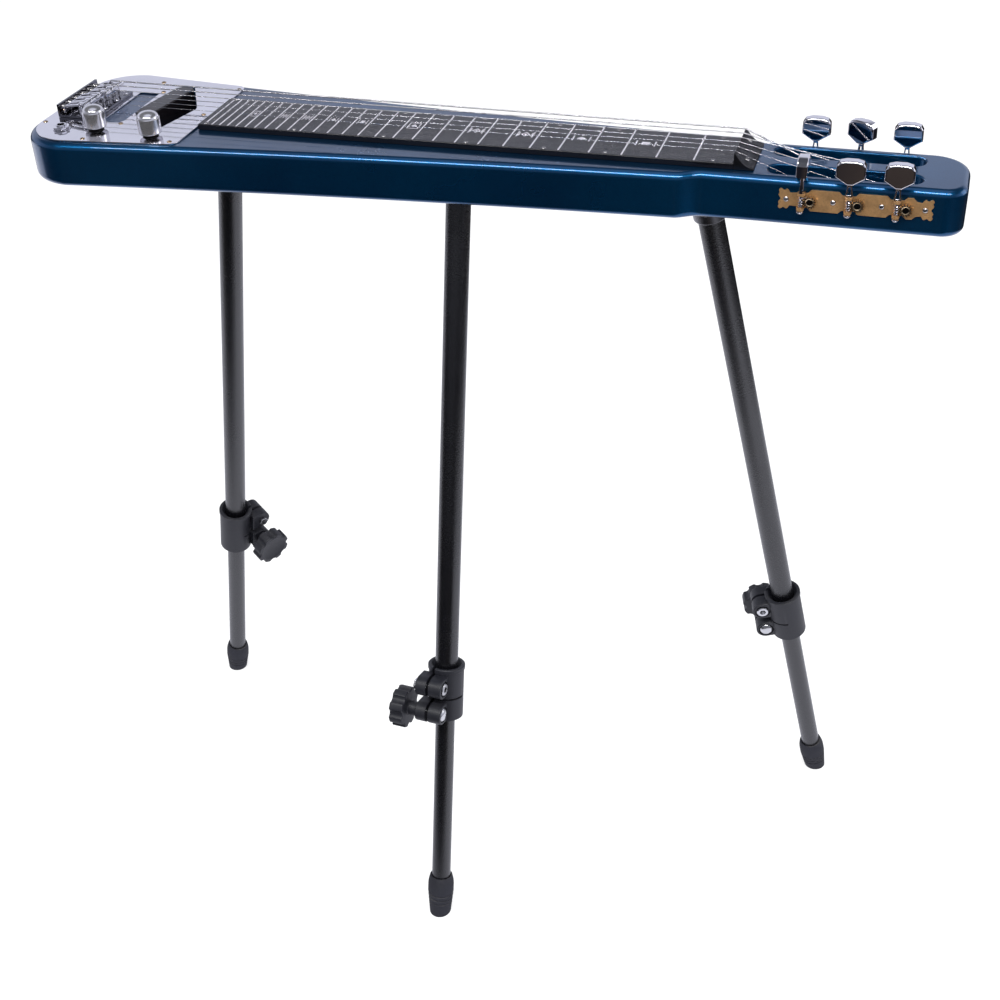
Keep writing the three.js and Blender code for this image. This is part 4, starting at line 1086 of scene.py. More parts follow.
def make_nut(context):
    apron = [(APRON_START + APRON_RUN * k / 20, apron_height(k / 20)) for k in range(21)]
    profile = ([(0, NUT_FOOT), (NUT_LENGTH, NUT_FOOT)] + apron[::-1]
               + [(0.45, NUT_RIDGE_HEIGHT - 0.1), (0, NUT_RIDGE_HEIGHT - 0.9)])
    casting = eased(prism(profile, -NUT_HALF, NUT_HALF, "Y"), 0.35)
    make_piece("nut_casting", casting, "gunmetal", "nut_gunmetal", ["nut"])
    places = []
    for x, y in NUT_SCREWS:
        share = (x - APRON_START) / APRON_RUN
        fall = 2 * (NUT_RIDGE_HEIGHT - NUT_TOE) * (1 - share) / APRON_RUN
        places.append(((x, y, apron_height(share)), (fall, 0, 1)))
    make_screws("nut_screws", screw_head(2.1, 0.9), places, "bright_steel", "gear_steel")


# Bridge and strings
SADDLE_LENGTH, SADDLE_HALF, SADDLE_FALL, SADDLE_SHEET = 20, 5.1, 2.6, 1.6
SADDLE_SET_BACK = 3.6
BACK_BEND, FRONT_BEND, LIP_REACH, LIP_DROP = 2.2, 2.8, 2.2, 4.5
SADDLE_SLOT_LENGTH, SADDLE_SLOT_WIDTH, SADDLE_SLOT_BEHIND = 11.5, 4.8, 12
HEIGHT_SCREW_BEHIND, HEIGHT_SCREW_ACROSS, HEIGHT_SCREW_RADIUS = 3.6, 3.4, 1.3
STRING_HOLE_BEHIND, STRING_HOLE_RADIUS = 15.2, 1.2
BRIDGE_BACK, BRIDGE_FRONT, BRIDGE_HALF = -600, -563, 34
WALL_SHEET, WALL_HEIGHT = 2, 11
INTONATION_HEIGHT, INTONATION_RADIUS = PLATE_TOP + SEAT + 7, 1.1
BRIDGE_SCREWS = (-27, -10.8, 10.8, 27)


def saddle_front(i):
    """The line where a string leaves its saddle: the three thin strings are set back."""
    return -SCALE_LENGTH - (SADDLE_SET_BACK if i < 3 else 0)


def string_hole_x(i):
    return saddle_front(i) - STRING_HOLE_BEHIND


def saddle_top(behind):
    """Height of a saddle's top at a distance behind its front."""
    return SADDLE_HEIGHT - SADDLE_FALL * behind / SADDLE_LENGTH


def make_saddle(i):
    """A bent sheet saddle with its slot, and a socket-headed height screw on each side."""
    front, top, thick = saddle_front(i), SADDLE_HEIGHT, SADDLE_SHEET
    rear, low = front - SADDLE_LENGTH, top - SADDLE_FALL
    tab, lip, edge = BASE_TOP + thick, front + LIP_REACH, top - LIP_DROP
    back_bend = curve(rear + BACK_BEND, low - BACK_BEND, BACK_BEND, 172, 95, 5)
    front_bend = curve(lip - FRONT_BEND, top - FRONT_BEND, FRONT_BEND, 80, 0, 6)
    inner = [(lip - thick, edge), (lip - thick, top - FRONT_BEND), (front - 0.4, top - thick - 0.1),
             (rear + thick + 0.5, low - thick + 0.1), (rear + thick, low - thick - 0.6),
             (rear + thick, tab)]
    strip = [(rear, tab)] + back_bend + front_bend + [(lip, edge)] + inner
    slot = prism(stadium(SADDLE_SLOT_LENGTH, SADDLE_SLOT_WIDTH), tab, top + OVERRUN)
    placed(slot, front - SADDLE_SLOT_BEHIND)
    plate = eased(carved(prism(strip, -SADDLE_HALF, SADDLE_HALF, "Y"), slot), 0.25)
    crown = saddle_top(HEIGHT_SCREW_BEHIND) + 0.25
    legs = [placed(carved(rod(HEIGHT_SCREW_RADIUS, BASE_TOP + SEAT, crown, 20, 0.15),
                          rod(HEIGHT_SCREW_RADIUS / 2, crown - 1, crown + 1, 6)),
                   front - HEIGHT_SCREW_BEHIND, side * HEIGHT_SCREW_ACROSS) for side in (-1, 1)]
    return placed(joined(plate, *legs), y=BRIDGE_ACROSS[i])


def make_bridge(context):
    foot, inside = PLATE_TOP + SEAT, BRIDGE_BACK + 2 * WALL_SHEET
    profile = ([(BRIDGE_BACK, foot), (BRIDGE_FRONT, foot), (BRIDGE_FRONT, BASE_TOP),
                (inside, BASE_TOP)]
               + curve(inside, BASE_TOP + 2, 2, 270, 180, 5)[1:]
               + [(BRIDGE_BACK + WALL_SHEET, foot + WALL_HEIGHT),
                  (BRIDGE_BACK, foot + WALL_HEIGHT)])
    holes = [placed(rod(STRING_HOLE_RADIUS, foot - OVERRUN, BASE_TOP + OVERRUN, 16),
                    string_hole_x(i), y) for i, y in enumerate(BRIDGE_ACROSS)]
    holes += [placed(rod(INTONATION_RADIUS + SEAT, -OVERRUN, OVERRUN, 16), BRIDGE_BACK, y,
                     INTONATION_HEIGHT, turn=about("Y", 90)) for y in BRIDGE_ACROSS]
    base = eased(carved(prism(profile, -BRIDGE_HALF, BRIDGE_HALF, "Y"), *holes), 0.35)
    # The plate's chrome is painted dark grey: painted shade under the saddles
    make_piece("bridge_plate", base, "bridge_steel", "plate_chrome", ["bridge_base"])
    shanks, points, lengths = [], [], []
    for i, y in enumerate(BRIDGE_ACROSS):
        make_piece(f"saddle_plate_{i + 1}", make_saddle(i), "chrome_plate", "saddle_steel",
                   [f"saddle_{i + 1}"])
        rear = saddle_front(i) - SADDLE_LENGTH
        shanks.append(placed(rod(INTONATION_RADIUS, BRIDGE_BACK - 1, rear + 2.5, 14), y=y,
                             z=INTONATION_HEIGHT, turn=about("Y", 90)))
        points.append((BRIDGE_BACK + 2.1, y, INTONATION_HEIGHT))
        lengths.append(rear - BRIDGE_BACK - 2.3)
    make_piece("intonation_screws", joined(*shanks), "bright_steel", "saddle_steel")
    springs = grown("springs", point_carrier(points, long=lengths), "bright_steel",
                    Coil_radius=2.3, Wire_radius=0.42, Turns=4.0)
    dress_mesh("intonation_springs", springs, "bright_steel", "saddle_steel", least=60,
               flats=False)
    heads = [((BRIDGE_BACK - 0.05, y, INTONATION_HEIGHT), (-1, 0, 0)) for y in BRIDGE_ACROSS]
    make_screws("intonation_heads", screw_head(2.5, 1.5), heads, "chrome_plate", "saddle_steel")
    fixings = [((BRIDGE_FRONT - 3.2, y, BASE_TOP), (0, 0, 1)) for y in BRIDGE_SCREWS]
    make_screws("bridge_screws", screw_head(2.1, 1.1), fixings, "chrome_plate", "plate_chrome")


STRING_LANDINGS = (22, 17, 15.6)
EMERGE_BEHIND, WRAP_GAP, NEAR_NUT = 6.5, 0.46, 20
WRAP_STEPS = 40


def string_route(i):
    """From its hole in the bridge through the saddle slot, over the nut and down onto its post."""
    radius = STRING_GAUGES[i] / 2
    side, order = (-1, i) if i < 3 else (1, 5 - i)
    bridge_y, nut_y = BRIDGE_ACROSS[i], NUT_ACROSS[i]
    lift = SEAT + radius
    ridge = NUT_RIDGE_HEIGHT + lift
    front, emerge = saddle_front(i), EMERGE_BEHIND + lift
    dip = emerge + (SADDLE_LENGTH - emerge) / 3
    start = [
        (string_hole_x(i), bridge_y, BASE_TOP - 2 + SEAT),
        (string_hole_x(i), bridge_y, (BASE_TOP + saddle_top(dip)) / 2),
        (front - dip, bridge_y, saddle_top(dip) - 1.6),
        (front - emerge, bridge_y, saddle_top(emerge) + 2 * lift),
        (front - 1.5, bridge_y, SADDLE_HEIGHT + lift - 0.05),
        (front, bridge_y, SADDLE_HEIGHT + lift),
        (-NEAR_NUT, bridge_y + (nut_y - bridge_y) * (1 - NEAR_NUT / SCALE_LENGTH),
         ridge + NEAR_NUT * (SADDLE_HEIGHT - NUT_RIDGE_HEIGHT) / SCALE_LENGTH),
        (0.1, nut_y, ridge + 0.02), (0.9, nut_y, ridge - 0.08),
    ]
    wrap = POST_RADIUS + lift
    across, drop = POST_PLACES[order] - 0.45, ridge - POST_HEIGHT
    first = math.atan2(drop, -across) - math.acos(wrap / math.hypot(across, drop))
    pitch = (2 * radius + WRAP_GAP) * (-1 if order == 0 else 1)
    turns = []
    for k in range(2 * WRAP_STEPS + 1):
        x, z = polar(wrap, first - 2 * math.pi * k / WRAP_STEPS)
        turns.append((POST_PLACES[order] + x,
                      side * (STRING_LANDINGS[order] + pitch * k / WRAP_STEPS),
                      POST_HEIGHT + z))
    return start + turns


def make_strings(context):
    for i, gauge in enumerate(STRING_GAUGES):
        finish = "plain_wire" if i < 3 else "string_wire"
        mesh = grown("wires", path_carrier(string_route(i)), finish, Radius=gauge / 2, Sides=10)
        dress_mesh(f"string_wire_{i + 1}", mesh, finish, "string_steel", [f"string_{i + 1}"],
                   least=50, flats=False)


# Knobs and output socket
BARREL_RADIUS, BARREL_RISE, DOME_RISE = 9.2, 13.8, 5.2
KNOB_RIM, KNOB_BORE, KNOB_LIFT, WASHER_TOP = 9.9, 3.3, 2.9, SEAT + 0.5


def make_knobs(context):
    cap = [(BARREL_RADIUS * math.cos(math.radians(a)),
            BARREL_RISE + DOME_RISE * math.sin(math.radians(a))) for a in range(6, 88, 6)]
    profile = [(0, 10), (KNOB_BORE, 10), (KNOB_BORE, 0), (BARREL_RADIUS - 0.3, 0), (9.6, 0.25),
               (KNOB_RIM, 0.8), (KNOB_RIM, BARREL_RISE - 1), (9.75, BARREL_RISE - 0.45),
               (9.3, BARREL_RISE - 0.1)]
    for i, (x, y) in enumerate(KNOB_PLACES):
        grub = placed(rod(1.1, 0, 20, 6), z=5, turn=about("X", -90))
        knob = carved(turned(profile + cap + [(0, BARREL_RISE + DOME_RISE)], 72), grub)
        make_piece(f"knob_cap_{i + 1}", placed(knob, x, y, PLATE_TOP + KNOB_LIFT), "knob_chrome",
                   "knob_chrome", [f"control_knob_{i + 1}"], body=f"knob_{i + 1}", least=28)
        can = turned([(0, -10.5), (7.2, -10.5), (8, -9.7), (8, -1.5), (3.6, -1.5), (3.6, 2.5),
                      (3, 2.5), (3, 12.2), (2.6, 12.6), (0, 12.6)], 40)
        # The control's nut and washer under the knob are near-black: painted shade of the groove at
        # the knob's base
        control = joined(can, eased(rod(5.6, WASHER_TOP, 2.5, 6), 0.3),
                         rod(6.9, SEAT, WASHER_TOP, 40, 0.1))
        make_piece(f"knob_control_{i + 1}", placed(control, x, y, PLATE_TOP), "black_oxide",
                   "gear_steel", [f"potentiometer_{i + 1}"])


def make_output_socket(context):
    bore, can, neck, foot = 3.25, 7.4, 4.9, -25.5
    barrel = turned(
        [(bore, foot), (can, foot), (can, -1.5), (neck, -1.5), (neck, 3.8), (neck - 0.4, 4.2),
         (bore + 0.35, 4.2), (bore, 3.85), (bore, foot)], 48)
    nut = eased(rod(7.7, WASHER_TOP, SEAT + 2.4, 6), 0.4)
    washer = rod(7.6, SEAT, WASHER_TOP, 48)
    rings = [carved(ring, rod(neck - 0.2, -OVERRUN, OVERRUN, 40)) for ring in (nut, washer)]
    socket = placed(joined(barrel, *rings), *JACK_PLACE, PLATE_TOP)
    make_piece("output_jack", socket, "chrome_plate", "knob_chrome", ["output_socket"])


# Tuners
LEAF_SHARES = ((-0.45, 0.62), (-0.24, 0.88), (-0.03, 0.97), (0.16, 0.86), (0.35, 0.82),
               (0.55, 0.95), (0.77, 1), (0.93, 0.9), (1, 0.76), (0.9, 0.66), (0.84, 0.6),
               (0.93, 0.5), (1, 0.36), (0.9, 0.22), (0.74, 0.1), (0.72, 0))
TUNER_SCREWS = (44.4, 80.6, 117.7, 150.5)
LEAF_LENGTH, LEAF_HALF = 6.2, 8.5
NECK_HALF, TALL_HALF, NECK_RUN, POST_HOLE = 6.2, 8.8, 5, 3.3
LUG_RADIUS, LUG_STARTS, LUG_SHEET = 3, (-7, 5), 2
JOURNAL_RADIUS = 1.6
FLANK = math.tan(math.radians(25))
WORM_REACH, WORM_STEPS = 4, 24
WORM_ROOT, WORM_TOOTH = WORM_RADIUS - 0.75, 1.25
WORM_GAP, GEAR_GAP = 0.1, 0.075


def leaf(screw, way):
    """Half of a lobed end round a screw, pointing along X or against it."""
    return [(screw + way * x * LEAF_LENGTH, z * LEAF_HALF) for x, z in LEAF_SHARES]


def tuner_plate_outline():
    """Lobed ends and three tall parts, with a narrow neck at each worm."""
    rise = TALL_HALF - NECK_HALF
    upper = leaf(TUNER_SCREWS[0], -1)[::-1]
    for i, place in enumerate(POST_PLACES):
        start = place - WORM_OFFSET + NECK_RUN
        close = place + GEAR_RADIUS + rise if i == 2 else start + POST_PITCH - 2 * NECK_RUN
        upper += [(start, NECK_HALF), (start + rise, TALL_HALF), (close - rise, TALL_HALF),
                  (close, NECK_HALF)]
    upper += leaf(TUNER_SCREWS[3], 1)
    return upper + [(x, -z) for x, z in upper[1:-1]][::-1]


def make_lug(worm, low):
    """A tongue folded out of the plate that holds one end of a worm."""
    outline = ([(worm - LUG_RADIUS, TUNER_FACE - 0.6), (worm + LUG_RADIUS, TUNER_FACE - 0.6)]
               + curve(worm, GEAR_MIDDLE, LUG_RADIUS, 0, 180, 12))
    bore = placed(rod(JOURNAL_RADIUS + SEAT, low - 1, low + 3, 20), worm, GEAR_MIDDLE)
    return eased(carved(prism(outline, low, low + LUG_SHEET), bore), 0.25)


def make_tuner_plate(label, side):
    inner, outer = HEAD_HALF + SEAT, TUNER_FACE
    holes = [placed(rod(POST_HOLE, inner - OVERRUN, GEAR_MIDDLE, 24), x=x, turn=about("X", -90))
             for x in POST_PLACES]
    sheet = eased(carved(prism(tuner_plate_outline(), inner, outer, "Y"), *holes), 0.22)
    lugs = [make_lug(x - WORM_OFFSET, low) for x in POST_PLACES for low in LUG_STARTS]
    plate = joined(sheet, *lugs)
    if side < 0:
        plate.transform(Matrix.Scale(-1, 4, (0, 1, 0)))
        bmesh.ops.reverse_faces(plate, faces=plate.faces)
    make_piece(f"tuner_plate_sheet_{label}", placed(plate, z=POST_HEIGHT), "aged_brass",
               "tuner_brass", [f"tuner_plate_{label}"])
    places = [((x, side * outer, POST_HEIGHT), (0, side, 0)) for x in TUNER_SCREWS]
    make_screws(f"tuner_screws_{label}", screw_head(2.3, 1.5, "slot"), places, "bright_steel",
                "gear_steel")


def worm_thread():
    """The worm: its rows follow the helix, with a flat crest and sloped, eased flanks."""
    reach, steps = WORM_REACH, WORM_STEPS
    half = LEAD / 4 + WORM_GAP
    root, tip = (half - 0.75 * FLANK) / LEAD, (half + 0.5 * FLANK) / LEAD
    phases = [(root, 0), (root + 0.04, 0.06), (tip - 0.04, 0.9), (tip + 0.03, 1),
              (1 - tip - 0.03, 1), (1 - tip + 0.04, 0.9), (1 - root - 0.04, 0.06), (1 - root, 0)]
    turns = math.ceil(reach / LEAD) + 1
    rows = [(turn + phase, crest) for turn in range(-turns - 1, turns + 1)
            for phase, crest in phases]
    shape = bmesh.new()
    grid = []
    for phase, crest in rows:
        line = []
        for c in range(steps + 1):
            height = LEAD * (phase + c / steps)
            z = max(-reach, min(reach, height))
            fade = min(1, (reach - abs(z)) / (LEAD / 4))
            radius = WORM_ROOT + WORM_TOOTH * crest * fade
            line.append(shape.verts.new((*polar(radius, 2 * math.pi * (c % steps) / steps), z)))
        grid.append(line)
    for low, high in zip(grid, grid[1:]):
        for c in range(steps):
            shape.faces.new((low[c], low[c + 1], high[c + 1], high[c]))
    shape.faces.new(grid[0][:steps][::-1])
    shape.faces.new(grid[-1][:steps])
    bmesh.ops.remove_doubles(shape, verts=shape.verts, dist=1e-4)
    bmesh.ops.dissolve_degenerate(shape, edges=shape.edges, dist=1e-5)
    bmesh.ops.recalc_face_normals(shape, faces=shape.faces)
    return shape


BUTTON_SHARES = ((0.2, 0), (1, 0.3), (0.98, 0.76), (0.8, 0.92), (0.36, 0.99), (-0.36, 0.99),
                 (-0.8, 0.92), (-0.98, 0.76), (-1, 0.3), (-0.2, 0))
SHAFT_FOOT, BUTTON_NECK, BUTTON_HALF, BUTTON_TALL = -9.9, 17.8, 11.5, 19.5


def make_tuner_shaft():
    """Worm, journals, finial, pierced stem and button, round the shaft's own axis."""
    foot, neck = SHAFT_FOOT, BUTTON_NECK
    finial = turned([(0, foot), (1.6, foot), (2.5, foot + 0.5), (2.9, foot + 1.1),
                     (2.9, foot + 1.5), (2.4, foot + 2.1), (1.6, -7.3), (0, -7.3)], 32)
    stem = prism([(-2.9, 7.3), (2.9, 7.3), (2.3, 12), (1.9, neck - 1.9), (2.9, neck + 2.6),
                  (-2.9, neck + 2.6), (-1.9, neck - 1.9), (-2.3, 12)], -1.3, 1.3, "Y")
    window = prism([(-1.5, 8.8), (1.5, 8.8), (0.8, 15.4), (-0.8, 15.4)], -3, 3, "Y")
    stem = eased(carved(stem, window), 0.45, 3, least=40)
    outline = [(x * BUTTON_HALF, neck + z * BUTTON_TALL) for x, z in BUTTON_SHARES]
    button = padded(outline, -4.5, 4.5, 1.5, 4, "Y")
    return joined(worm_thread(), rod(JOURNAL_RADIUS, 3.8, 8, 24),
                  rod(JOURNAL_RADIUS, -7.6, -3.8, 24), finial, stem, button)


def make_gear(side):
    """A gear whose teeth are skewed to the worm's lead, with the recess of its screw."""
    half = LEAD / 4 - GEAR_GAP
    tip, root = GEAR_RADIUS + 0.5, GEAR_RADIUS - 0.7
    tip_angle = (half - 0.5 * FLANK) / GEAR_RADIUS
    root_angle = (half + 0.7 * FLANK) / GEAR_RADIUS
    tooth = [(root, -root_angle), (GEAR_RADIUS, -half / GEAR_RADIUS), (tip, -tip_angle),
             (tip, tip_angle), (GEAR_RADIUS, half / GEAR_RADIUS), (root, root_angle)]
    outline = [polar(r, math.pi + 2 * math.pi * k / GEAR_TEETH + a)
               for k in range(GEAR_TEETH) for r, a in tooth]
    skew = LEAD / (2 * math.pi * WORM_RADIUS)
    rows = []
    for y in (-1.5, -0.9, 0, 0.9, 1.5):
        turn = skew * y / GEAR_RADIUS
        inset = 0.94 if abs(y) > 1.4 else 1.0
        rows.append([(inset * (x * math.cos(turn) + z * math.sin(turn)), y,
                      inset * (z * math.cos(turn) - x * math.sin(turn))) for x, z in outline])
    gear = placed(skin(rows), y=side * GEAR_MIDDLE)
    hollow = turned([(0, GEAR_MIDDLE - 2), (2.6, GEAR_MIDDLE - 2), (2.6, GEAR_MIDDLE + 0.8),
                     (3.3, GEAR_MIDDLE + 1.2), (3.5, GEAR_MIDDLE + 2), (0, GEAR_MIDDLE + 2)], 28)
    return carved(gear, placed(hollow, turn=about("X", -90 * side)))


def make_post(side):
    """A string post with its eye for the string; the gear's screw goes into its end."""
    post = turned([(0, 4), (2.5, 4), (3, 4.5), (3, 12), (2.85, 14), (2.85, 26), (3, 28),
                   (3, GEAR_MIDDLE - 1.5), (2.6, GEAR_MIDDLE - 1.4), (2.6, GEAR_MIDDLE - 0.6),
                   (0, GEAR_MIDDLE - 0.6)], 32)
    eye = placed(rod(0.8, -5, 5, 12), y=side * 19)
    return carved(placed(post, turn=about("X", -90 * side)), eye)


def make_gear_screw(side):
    """The slotted screw that holds a gear on its post."""
    screw = turned([(0, GEAR_MIDDLE - 0.6), (2.55, GEAR_MIDDLE - 0.6), (2.55, GEAR_MIDDLE + 0.4),
                    (2.1, GEAR_MIDDLE + 0.7), (0, GEAR_MIDDLE + 0.8)], 28)
    slot = block(-0.35, 0.35, -4, 4, GEAR_MIDDLE + 0.2, GEAR_MIDDLE + 2)
    return placed(carved(screw, slot), turn=about("X", -90 * side))


def make_tuners(context):
    for label, side in SIDES:
        make_tuner_plate(label, side)
        for i, place in enumerate(POST_PLACES):
            number, turn = f"{label}_{i + 1}", BUTTON_TURNS[label][i]
            shaft = placed(make_tuner_shaft(), place - WORM_OFFSET, side * GEAR_MIDDLE,
                           POST_HEIGHT, turn=about("Z", turn))
            make_piece(f"worm_shaft_{number}", shaft, "chrome_plate", "knob_chrome",
                       [f"tuner_shaft_{number}"], body=f"button_{number}", least=30)
            for part, shape, finish, nodes in (
                    ("gear", make_gear(side), "gear_brass", []),
                    ("post", make_post(side), "bright_steel", [f"string_post_{number}"]),
                    # The gear's screw is near-black: painted shade in the gear's hollow
                    ("gear_screw", make_gear_screw(side), "black_oxide", [])):
                placed(shape, x=place, z=POST_HEIGHT, turn=about("Y", -turn / GEAR_TEETH))
                make_piece(f"{part}_{number}", shape, finish, "gear_steel", nodes,
                           body=f"post_{number}", least=30)


# Legs
def leg_place(label):
    """From a leg's own axis, with Z running down it, to the guitar."""
    return (Matrix.Translation((*LEG_TOPS[label], BODY_BOTTOM))
            @ about("Z", LEG_BEARINGS[label]) @ Matrix.Rotation(math.pi - SPLAY, 4, "Y"))


def clamp_place(label):
    """From a clamp's own frame, with X out to its ears and Y to its knob, to the guitar."""
    return leg_place(label) @ about("Z", LEG_BEARINGS[label] + 180 - CLAMP_BEARINGS[label])


FLANGE_RADIUS, FLANGE_SHEET, BOSS_RADIUS, BOSS_LENGTH = 24, 1.5, 14.2, 12
SOCKET_SCREW_CIRCLE, SOCKET_SCREW_ANGLES = 19.5, (0.6, 2.7, 4.8)


def make_leg_sockets(context):
    top = BODY_BOTTOM - SEAT
    face = top - FLANGE_SHEET
    for label, (x, y) in LEG_TOPS.items():
        flange = placed(turned([
            (0, face), (FLANGE_RADIUS - 3, face), (FLANGE_RADIUS - 0.6, top - 1.3),
            (FLANGE_RADIUS, top - 0.8), (FLANGE_RADIUS, top), (0, top)], 56), x, y)
        boss = turned([(0, 0), (BOSS_RADIUS, 0), (BOSS_RADIUS, BOSS_LENGTH - 0.6),
                       (BOSS_RADIUS - 0.4, BOSS_LENGTH), (0, BOSS_LENGTH)], 48)
        above = placed(block(-50, 50, -50, 50, top, top + 50), x, y)
        bore = moved(rod(UPPER_TUBE_RADIUS + SEAT, 4.2, 17, 48), leg_place(label))
        socket = carved(flange, moved(boss, leg_place(label)), operation="UNION")
        make_piece(f"socket_flange_{label}", eased(carved(socket, above, bore), 0.3),
                   "dark_steel", "socket_zinc", [f"leg_socket_{label}"])
        spots = [polar(SOCKET_SCREW_CIRCLE, angle) for angle in SOCKET_SCREW_ANGLES]
        places = [((x + across, y + along, face), (0, 0, -1)) for across, along in spots]
        make_screws(f"socket_screws_{label}", screw_head(2.4, 1.3), places, "zinc",
                    "socket_zinc")


def tube(outer, low, high):
    """A thin tube with its outer rims eased."""
    inner = outer - TUBE_WALL
    return turned([(inner, low), (outer - 0.3, low), (outer, low + 0.3), (outer, high - 0.4),
                   (outer - 0.4, high), (inner, high), (inner, low)], 72)


def make_tubes(context):
    for label in LEG_TOPS:
        for part, radius, low, high, body in (
                ("upper", UPPER_TUBE_RADIUS, 4.5, CLAMP_SHOULDER - 0.6, "guitar"),
                ("lower", LOWER_TUBE_RADIUS, TUBE_END - LOWER_TUBE_LENGTH, TUBE_END,
                 f"lower_leg_{label}")):
            make_piece(f"tube_{part}_{label}", moved(tube(radius, low, high), leg_place(label)),
                       "crackle_paint", "leg_black", [f"{part}_tube_{label}"], body=body,
                       flats=False)


BOLT_HEIGHTS = (UPPER_BOLT, LOWER_BOLT)
WIDE_BORE, NARROW_BORE = UPPER_TUBE_RADIUS + SEAT, LOWER_TUBE_RADIUS + SEAT
EAR_RADIUS, EAR_LOW, EAR_HIGH = 10, -8, 19
COLLAR_RADIUS, RIM_RADIUS = 17.2, 18
BOLT_BORE, BOLT_RADIUS, BOLT_SEAT = 3.3, 3, -6.3
RECESS_RADIUS, RECESS_FACE = 7.8, -6.2
SPLIT_NEAR, SPLIT_FAR = 5, 8


def make_collar():
    """Two split rings on one back, each with a barrel of two ears for its bolt."""
    below, above = CLAMP_TOP - OVERRUN, CLAMP_BOTTOM + OVERRUN
    body = turned([
        (0, CLAMP_TOP), (COLLAR_RADIUS, CLAMP_TOP), (RIM_RADIUS, CLAMP_TOP + 0.8),
        (RIM_RADIUS, CLAMP_TOP + 4.2), (COLLAR_RADIUS, CLAMP_TOP + 5),
        (COLLAR_RADIUS, CLAMP_BOTTOM), (0, CLAMP_BOTTOM)], 64)
    barrels = []
    for bolt in BOLT_HEIGHTS:
        outline = ([(WIDE_BORE, bolt - EAR_RADIUS)]
                   + curve(EAR_REACH, bolt, EAR_RADIUS, -90, 90, 16)
                   + [(WIDE_BORE, bolt + EAR_RADIUS)])
        barrels.append(padded(outline, EAR_LOW, EAR_HIGH, 1.2, 3, "Y"))
    solid = carved(body, *barrels, operation="UNION")
    cuts = [
        rod(WIDE_BORE, below, CLAMP_SHOULDER, 64), rod(NARROW_BORE, CLAMP_TOP, above, 64),
        block(0, 40, SPLIT_NEAR, SPLIT_FAR, below, above),
        turned([(0, CLAMP_TOP - 2), (16.2, CLAMP_TOP - 2), (WIDE_BORE, CLAMP_TOP + 5),
                (0, CLAMP_TOP + 5)], 64),
        block(0, 40, -25, 25, CLAMP_SHOULDER, CLAMP_SHOULDER + 2)]
    bore = [(0, -20), (RECESS_RADIUS, -20), (RECESS_RADIUS, RECESS_FACE),
            (BOLT_BORE, RECESS_FACE), (BOLT_BORE, 30), (0, 30)]
    cuts += [placed(turned(bore, 32), x=EAR_REACH, z=bolt, turn=about("X", -90))
             for bolt in BOLT_HEIGHTS]
    return eased(carved(solid, *cuts), 0.4)


def make_clamps(context):
    end = KNOB_FACE + 15.5
    for label in LEG_TOPS:
        carriage = turned([
            (0, -9.9), (3, -9.6), (5, -9), (6.4, -7.8), (6.9, -6.9), (6.9, BOLT_SEAT),
            (BOLT_RADIUS, BOLT_SEAT), (BOLT_RADIUS, end), (0, end)], 40)
        cap = turned([
            (0, -9.1), (5.3, -9.1), (6, -8.4), (6, BOLT_SEAT), (BOLT_RADIUS, BOLT_SEAT),
            (BOLT_RADIUS, 21), (0, 21)], 36)
        cap = carved(cap, rod(3.3, -14, -4.5, 6))
        screw = joined(cap, eased(rod(5.4, KNOB_FACE, 22.6, 6), 0.4))
        for bolt, height in ((carriage, LOWER_BOLT), (screw, UPPER_BOLT)):
            placed(bolt, EAR_REACH, 0, height, turn=about("X", -90))
            moved(bolt, clamp_place(label))
        make_piece(f"collar_{label}", moved(make_collar(), clamp_place(label)),
                   "clamp_plastic", "clamp_black", [f"clamp_collar_{label}"])
        make_piece(f"carriage_bolt_{label}", carriage, "zinc", "socket_zinc",
                   [f"clamp_bolt_{label}"])
        make_piece(f"cap_screw_{label}", screw, "zinc", "socket_zinc")


LOBES, LOBE_CIRCLE, LOBE_RADIUS, WAIST_RADIUS = 8, 22.2, 5, 20


def star_outline():
    """Round lobes with a shallow waist between each and the next."""
    outline = []
    for lobe in range(LOBES):
        middle = math.radians(360 / LOBES * lobe)
        x, y = polar(LOBE_CIRCLE, middle)
        for a in range(234, 125, -12):
            across, along = polar(LOBE_RADIUS, middle + math.radians(a))
            outline.append((x + across, y + along))
        outline += [polar(WAIST_RADIUS, middle + math.radians(a)) for a in (14, 18, 22.5, 27, 31)]
    return outline


def make_star_knobs(context):
    for label in LEG_TOPS:
        dish = turned([(0, 19.4), (6, 19.7), (11, 20.6), (14.5, 21.8), (16, 23), (16, 26),
                       (0, 26)], 56)
        grip = eased(carved(padded(star_outline(), 8.5, 22.5, 1.2, 3), dish), 0.3)
        hub = turned([(0, 0), (6.6, 0), (7, 0.4), (7, 7.6), (8.4, 9), (0, 9)], 48)
        knob = carved(carved(grip, hub, operation="UNION"), rod(BOLT_BORE, -5, 15.8, 28))
        placed(knob, EAR_REACH, KNOB_FACE, LOWER_BOLT, turn=about("X", -90))
        make_piece(f"star_grip_{label}", moved(knob, clamp_place(label)), "clamp_plastic",
                   "clamp_black", [f"clamp_knob_{label}"], body=f"star_knob_{label}", least=30)


FOOT_TOP, FOOT_END = LEG_LENGTH - 42.8, LEG_LENGTH + 5
FOOT_BORE = LOWER_TUBE_RADIUS + SEAT
RIBS_START, RIB_PITCH, RIB_DEPTH = FOOT_FLOOR - 15, 5, 1.1
RIBS_RADIUS, SOLE_RADIUS = 13.2, 10.4


